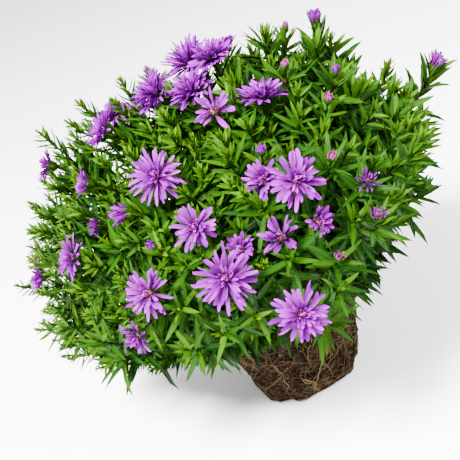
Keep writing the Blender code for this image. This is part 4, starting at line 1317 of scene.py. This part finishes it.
class AsterStage(bpy.types.Operator):
    """Lays the pale floor, sets soft light, and places the camera"""

    bl_idname = "aster.stage"
    bl_label = "Stage"

    def execute(self, context):
        mesh = bpy.data.meshes.new("floor")
        half = FLOOR_HALF_SIZE
        corners = [(-half, -half, 0), (half, -half, 0), (half, half, 0), (-half, half, 0)]
        mesh.from_pydata(corners, [], [(0, 1, 2, 3)])
        floor = bpy.data.objects.new("floor", mesh)
        look = bpy.data.materials.new("floor")
        look.use_nodes = True
        shader = look.node_tree.nodes["Principled BSDF"]
        shader.inputs["Base Color"].default_value = (FLOOR_TONE, FLOOR_TONE, FLOOR_TONE, 1)
        shader.inputs["Roughness"].default_value = 0.9
        mesh.materials.append(look)
        context.scene.collection.objects.link(floor)
        world = bpy.data.worlds.new("studio")
        world.use_nodes = True
        sky = world.node_tree.nodes["Background"]
        sky.inputs["Color"].default_value = (1, 1, 1, 1)
        sky.inputs["Strength"].default_value = SKY_STRENGTH
        context.scene.world = world
        for name, place, power, size in LAMPS:
            light = bpy.data.lights.new(name, "AREA")
            light.energy = power
            light.size = size
            lamp = bpy.data.objects.new(name, light)
            lamp.location = place
            lamp.rotation_euler = Vector(np.array(place) - CROWN).to_track_quat("Z", "Y").to_euler()
            context.scene.collection.objects.link(lamp)
        place_camera(context)
        return {"FINISHED"}


def place_camera(context):
    """Turns the camera so that the crown shows at its own place in the photograph's frame.

    It looks down at the crown and is rolled first. Then its aim moves off the crown by as much as
    the crown's pixel is off the middle of the frame.
    """
    ahead = np.array([0, math.cos(LOOK_DOWN), -math.sin(LOOK_DOWN)])
    level = np.array([1.0, 0, 0])
    upright = np.cross(level, ahead)
    right = level * math.cos(ROLL) - upright * math.sin(ROLL)
    upward = level * math.sin(ROLL) + upright * math.cos(ROLL)
    place = CROWN - ahead * CAMERA_DISTANCE
    per_unit = PHOTO_SIZE * LENS / SENSOR
    aside = (CROWN_PIXEL[0] - PHOTO_SIZE / 2) / per_unit
    below = (CROWN_PIXEL[1] - PHOTO_SIZE / 2) / per_unit
    ahead = unit(ahead - right * aside + upward * below)
    right = square_to(right, ahead)
    upward = np.cross(right, ahead)
    camera = bpy.data.objects.new("camera", bpy.data.cameras.new("camera"))
    camera.data.lens = LENS
    camera.data.sensor_width = SENSOR
    turned = np.eye(4)
    turned[:3, :3] = np.stack([right, upward, -ahead], axis=1)
    turned[:3, 3] = place
    camera.matrix_world = Matrix(turned.tolist())
    context.scene.collection.objects.link(camera)
    context.scene.camera = camera


class AsterRootBall(bpy.types.Operator):
    """Makes the soil and the net of roots that holds it"""

    bl_idname = "aster.root_ball"
    bl_label = "Root ball"

    def execute(self, context):
        colours = context.scene.aster_colours
        ball_skin().made("soil_ball", soil_finish(colours), "soil", "root_ball")
        root_skin(context.scene.aster_sizes).made("root_net", root_finish(colours), "soil", "root_ball")
        return {"FINISHED"}


class AsterFoliage(bpy.types.Operator):
    """Grows the stems with their leaves, calyces and closed buds, stem by stem"""

    bl_idname = "aster.foliage"
    bl_label = "Stems and leaves"

    def execute(self, context):
        sizes = context.scene.aster_sizes
        colours = context.scene.aster_colours
        shoots, heads = grow(sizes)
        stem_look, leaf_look, ray_look = stem_finish(colours), leaf_finish(colours), ray_finish(colours)
        for stem, skin in stem_skins(shoots, heads).items():
            skin.made(f"stems_{stem:02d}", stem_look, "leaf", f"leafy_stem_{stem:02d}")
        shoot, rows = leaf_rows(shoots, heads, sizes)
        owner = np.array(shoots.stems)[shoot]
        random = np.random.default_rng(53)
        for stem in np.unique(owner):
            skin = Skin()
            mine = {name: values[owner == stem] for name, values in rows.items()}
            deep = np.where(mine["age"] > DEEP_LEAF_AGE, DEEP_LEAF_SHARE, 1)
            size = np.digitize(mine["length"] * deep, LEAF_SIZES)
            for rank, stations in enumerate(LEAF_STATIONS):
                chosen = {name: values[size == rank] for name, values in mine.items()}
                blades(skin, profile=lance, stations=stations, thickness=LEAF_THICKNESS, **chosen)
            own = [head for head in heads if shoots.stems[head[0]] == stem]
            for _, kind, seat, facing, _ in own:
                bracts(skin, seat, facing, kind, random)
            skin.made(f"leaves_{stem:02d}", leaf_look, "leaf", f"leafy_stem_{stem:02d}")
            buds = [head for head in own if head[1] == "bud"]
            if buds:
                tufts = Skin()
                for _, _, seat, facing, row in buds:
                    bud_petals(tufts, seat, facing, row[3], random)
                tufts.made(f"bud_tufts_{stem:02d}", ray_look, "petal", f"leafy_stem_{stem:02d}")
        return {"FINISHED"}


class AsterFlowers(bpy.types.Operator):
    """Opens every flower head and half-open head"""

    bl_idname = "aster.flowers"
    bl_label = "Flowers"

    def execute(self, context):
        colours = context.scene.aster_colours
        ray_look, heart_look = ray_finish(colours), heart_finish(colours)
        random = np.random.default_rng(61)
        for kind, label, rows in (("bloom", "bloom", BLOOMS), ("opening", "opening_bud", OPENING)):
            for k, row in enumerate(rows):
                aim, reach, facing = stand_of(row)
                seat = CROWN + aim * reach * MM + facing * SEAT_GAP
                rays, heart = head_skins(kind, seat, facing, row, context.scene.aster_sizes, random)
                name = f"{label}_{k + 1:02d}"
                rays.made(f"rays_of_{name}", ray_look, "petal", name)
                heart.made(f"heart_of_{name}", heart_look, "petal", name)
        return {"FINISHED"}


class AsterPanel(bpy.types.Panel):
    """The plant's sizes, colours and pieces"""

    bl_idname = "ASTER_PT_plant"
    bl_label = "Aster"
    bl_space_type = "VIEW_3D"
    bl_region_type = "UI"
    bl_category = "Aster"

    def draw(self, context):
        for settings in (context.scene.aster_sizes, context.scene.aster_colours):
            box = self.layout.box()
            for name in settings.__annotations__:
                box.prop(settings, name)
        for operator in OPERATORS:
            self.layout.operator(operator.bl_idname)


OPERATORS = (AsterStage, AsterRootBall, AsterFoliage, AsterFlowers)
CLASSES = (AsterSizes, AsterColours, *OPERATORS, AsterPanel)


def register():
    """Makes the sizes, colours, operators and panel known to the program."""
    for item in CLASSES:
        bpy.utils.register_class(item)
    bpy.types.Scene.aster_sizes = bpy.props.PointerProperty(type=AsterSizes)
    bpy.types.Scene.aster_colours = bpy.props.PointerProperty(type=AsterColours)


def unregister():
    """Takes back what register() did, the other way round."""
    del bpy.types.Scene.aster_colours
    del bpy.types.Scene.aster_sizes
    for item in reversed(CLASSES):
        bpy.utils.unregister_class(item)


def main():
    """Makes the stage and the plant."""
    register()
    bpy.ops.aster.stage()
    bpy.ops.aster.root_ball()
    bpy.ops.aster.foliage()
    bpy.ops.aster.flowers()
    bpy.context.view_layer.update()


if __name__ == "__main__":
    main()
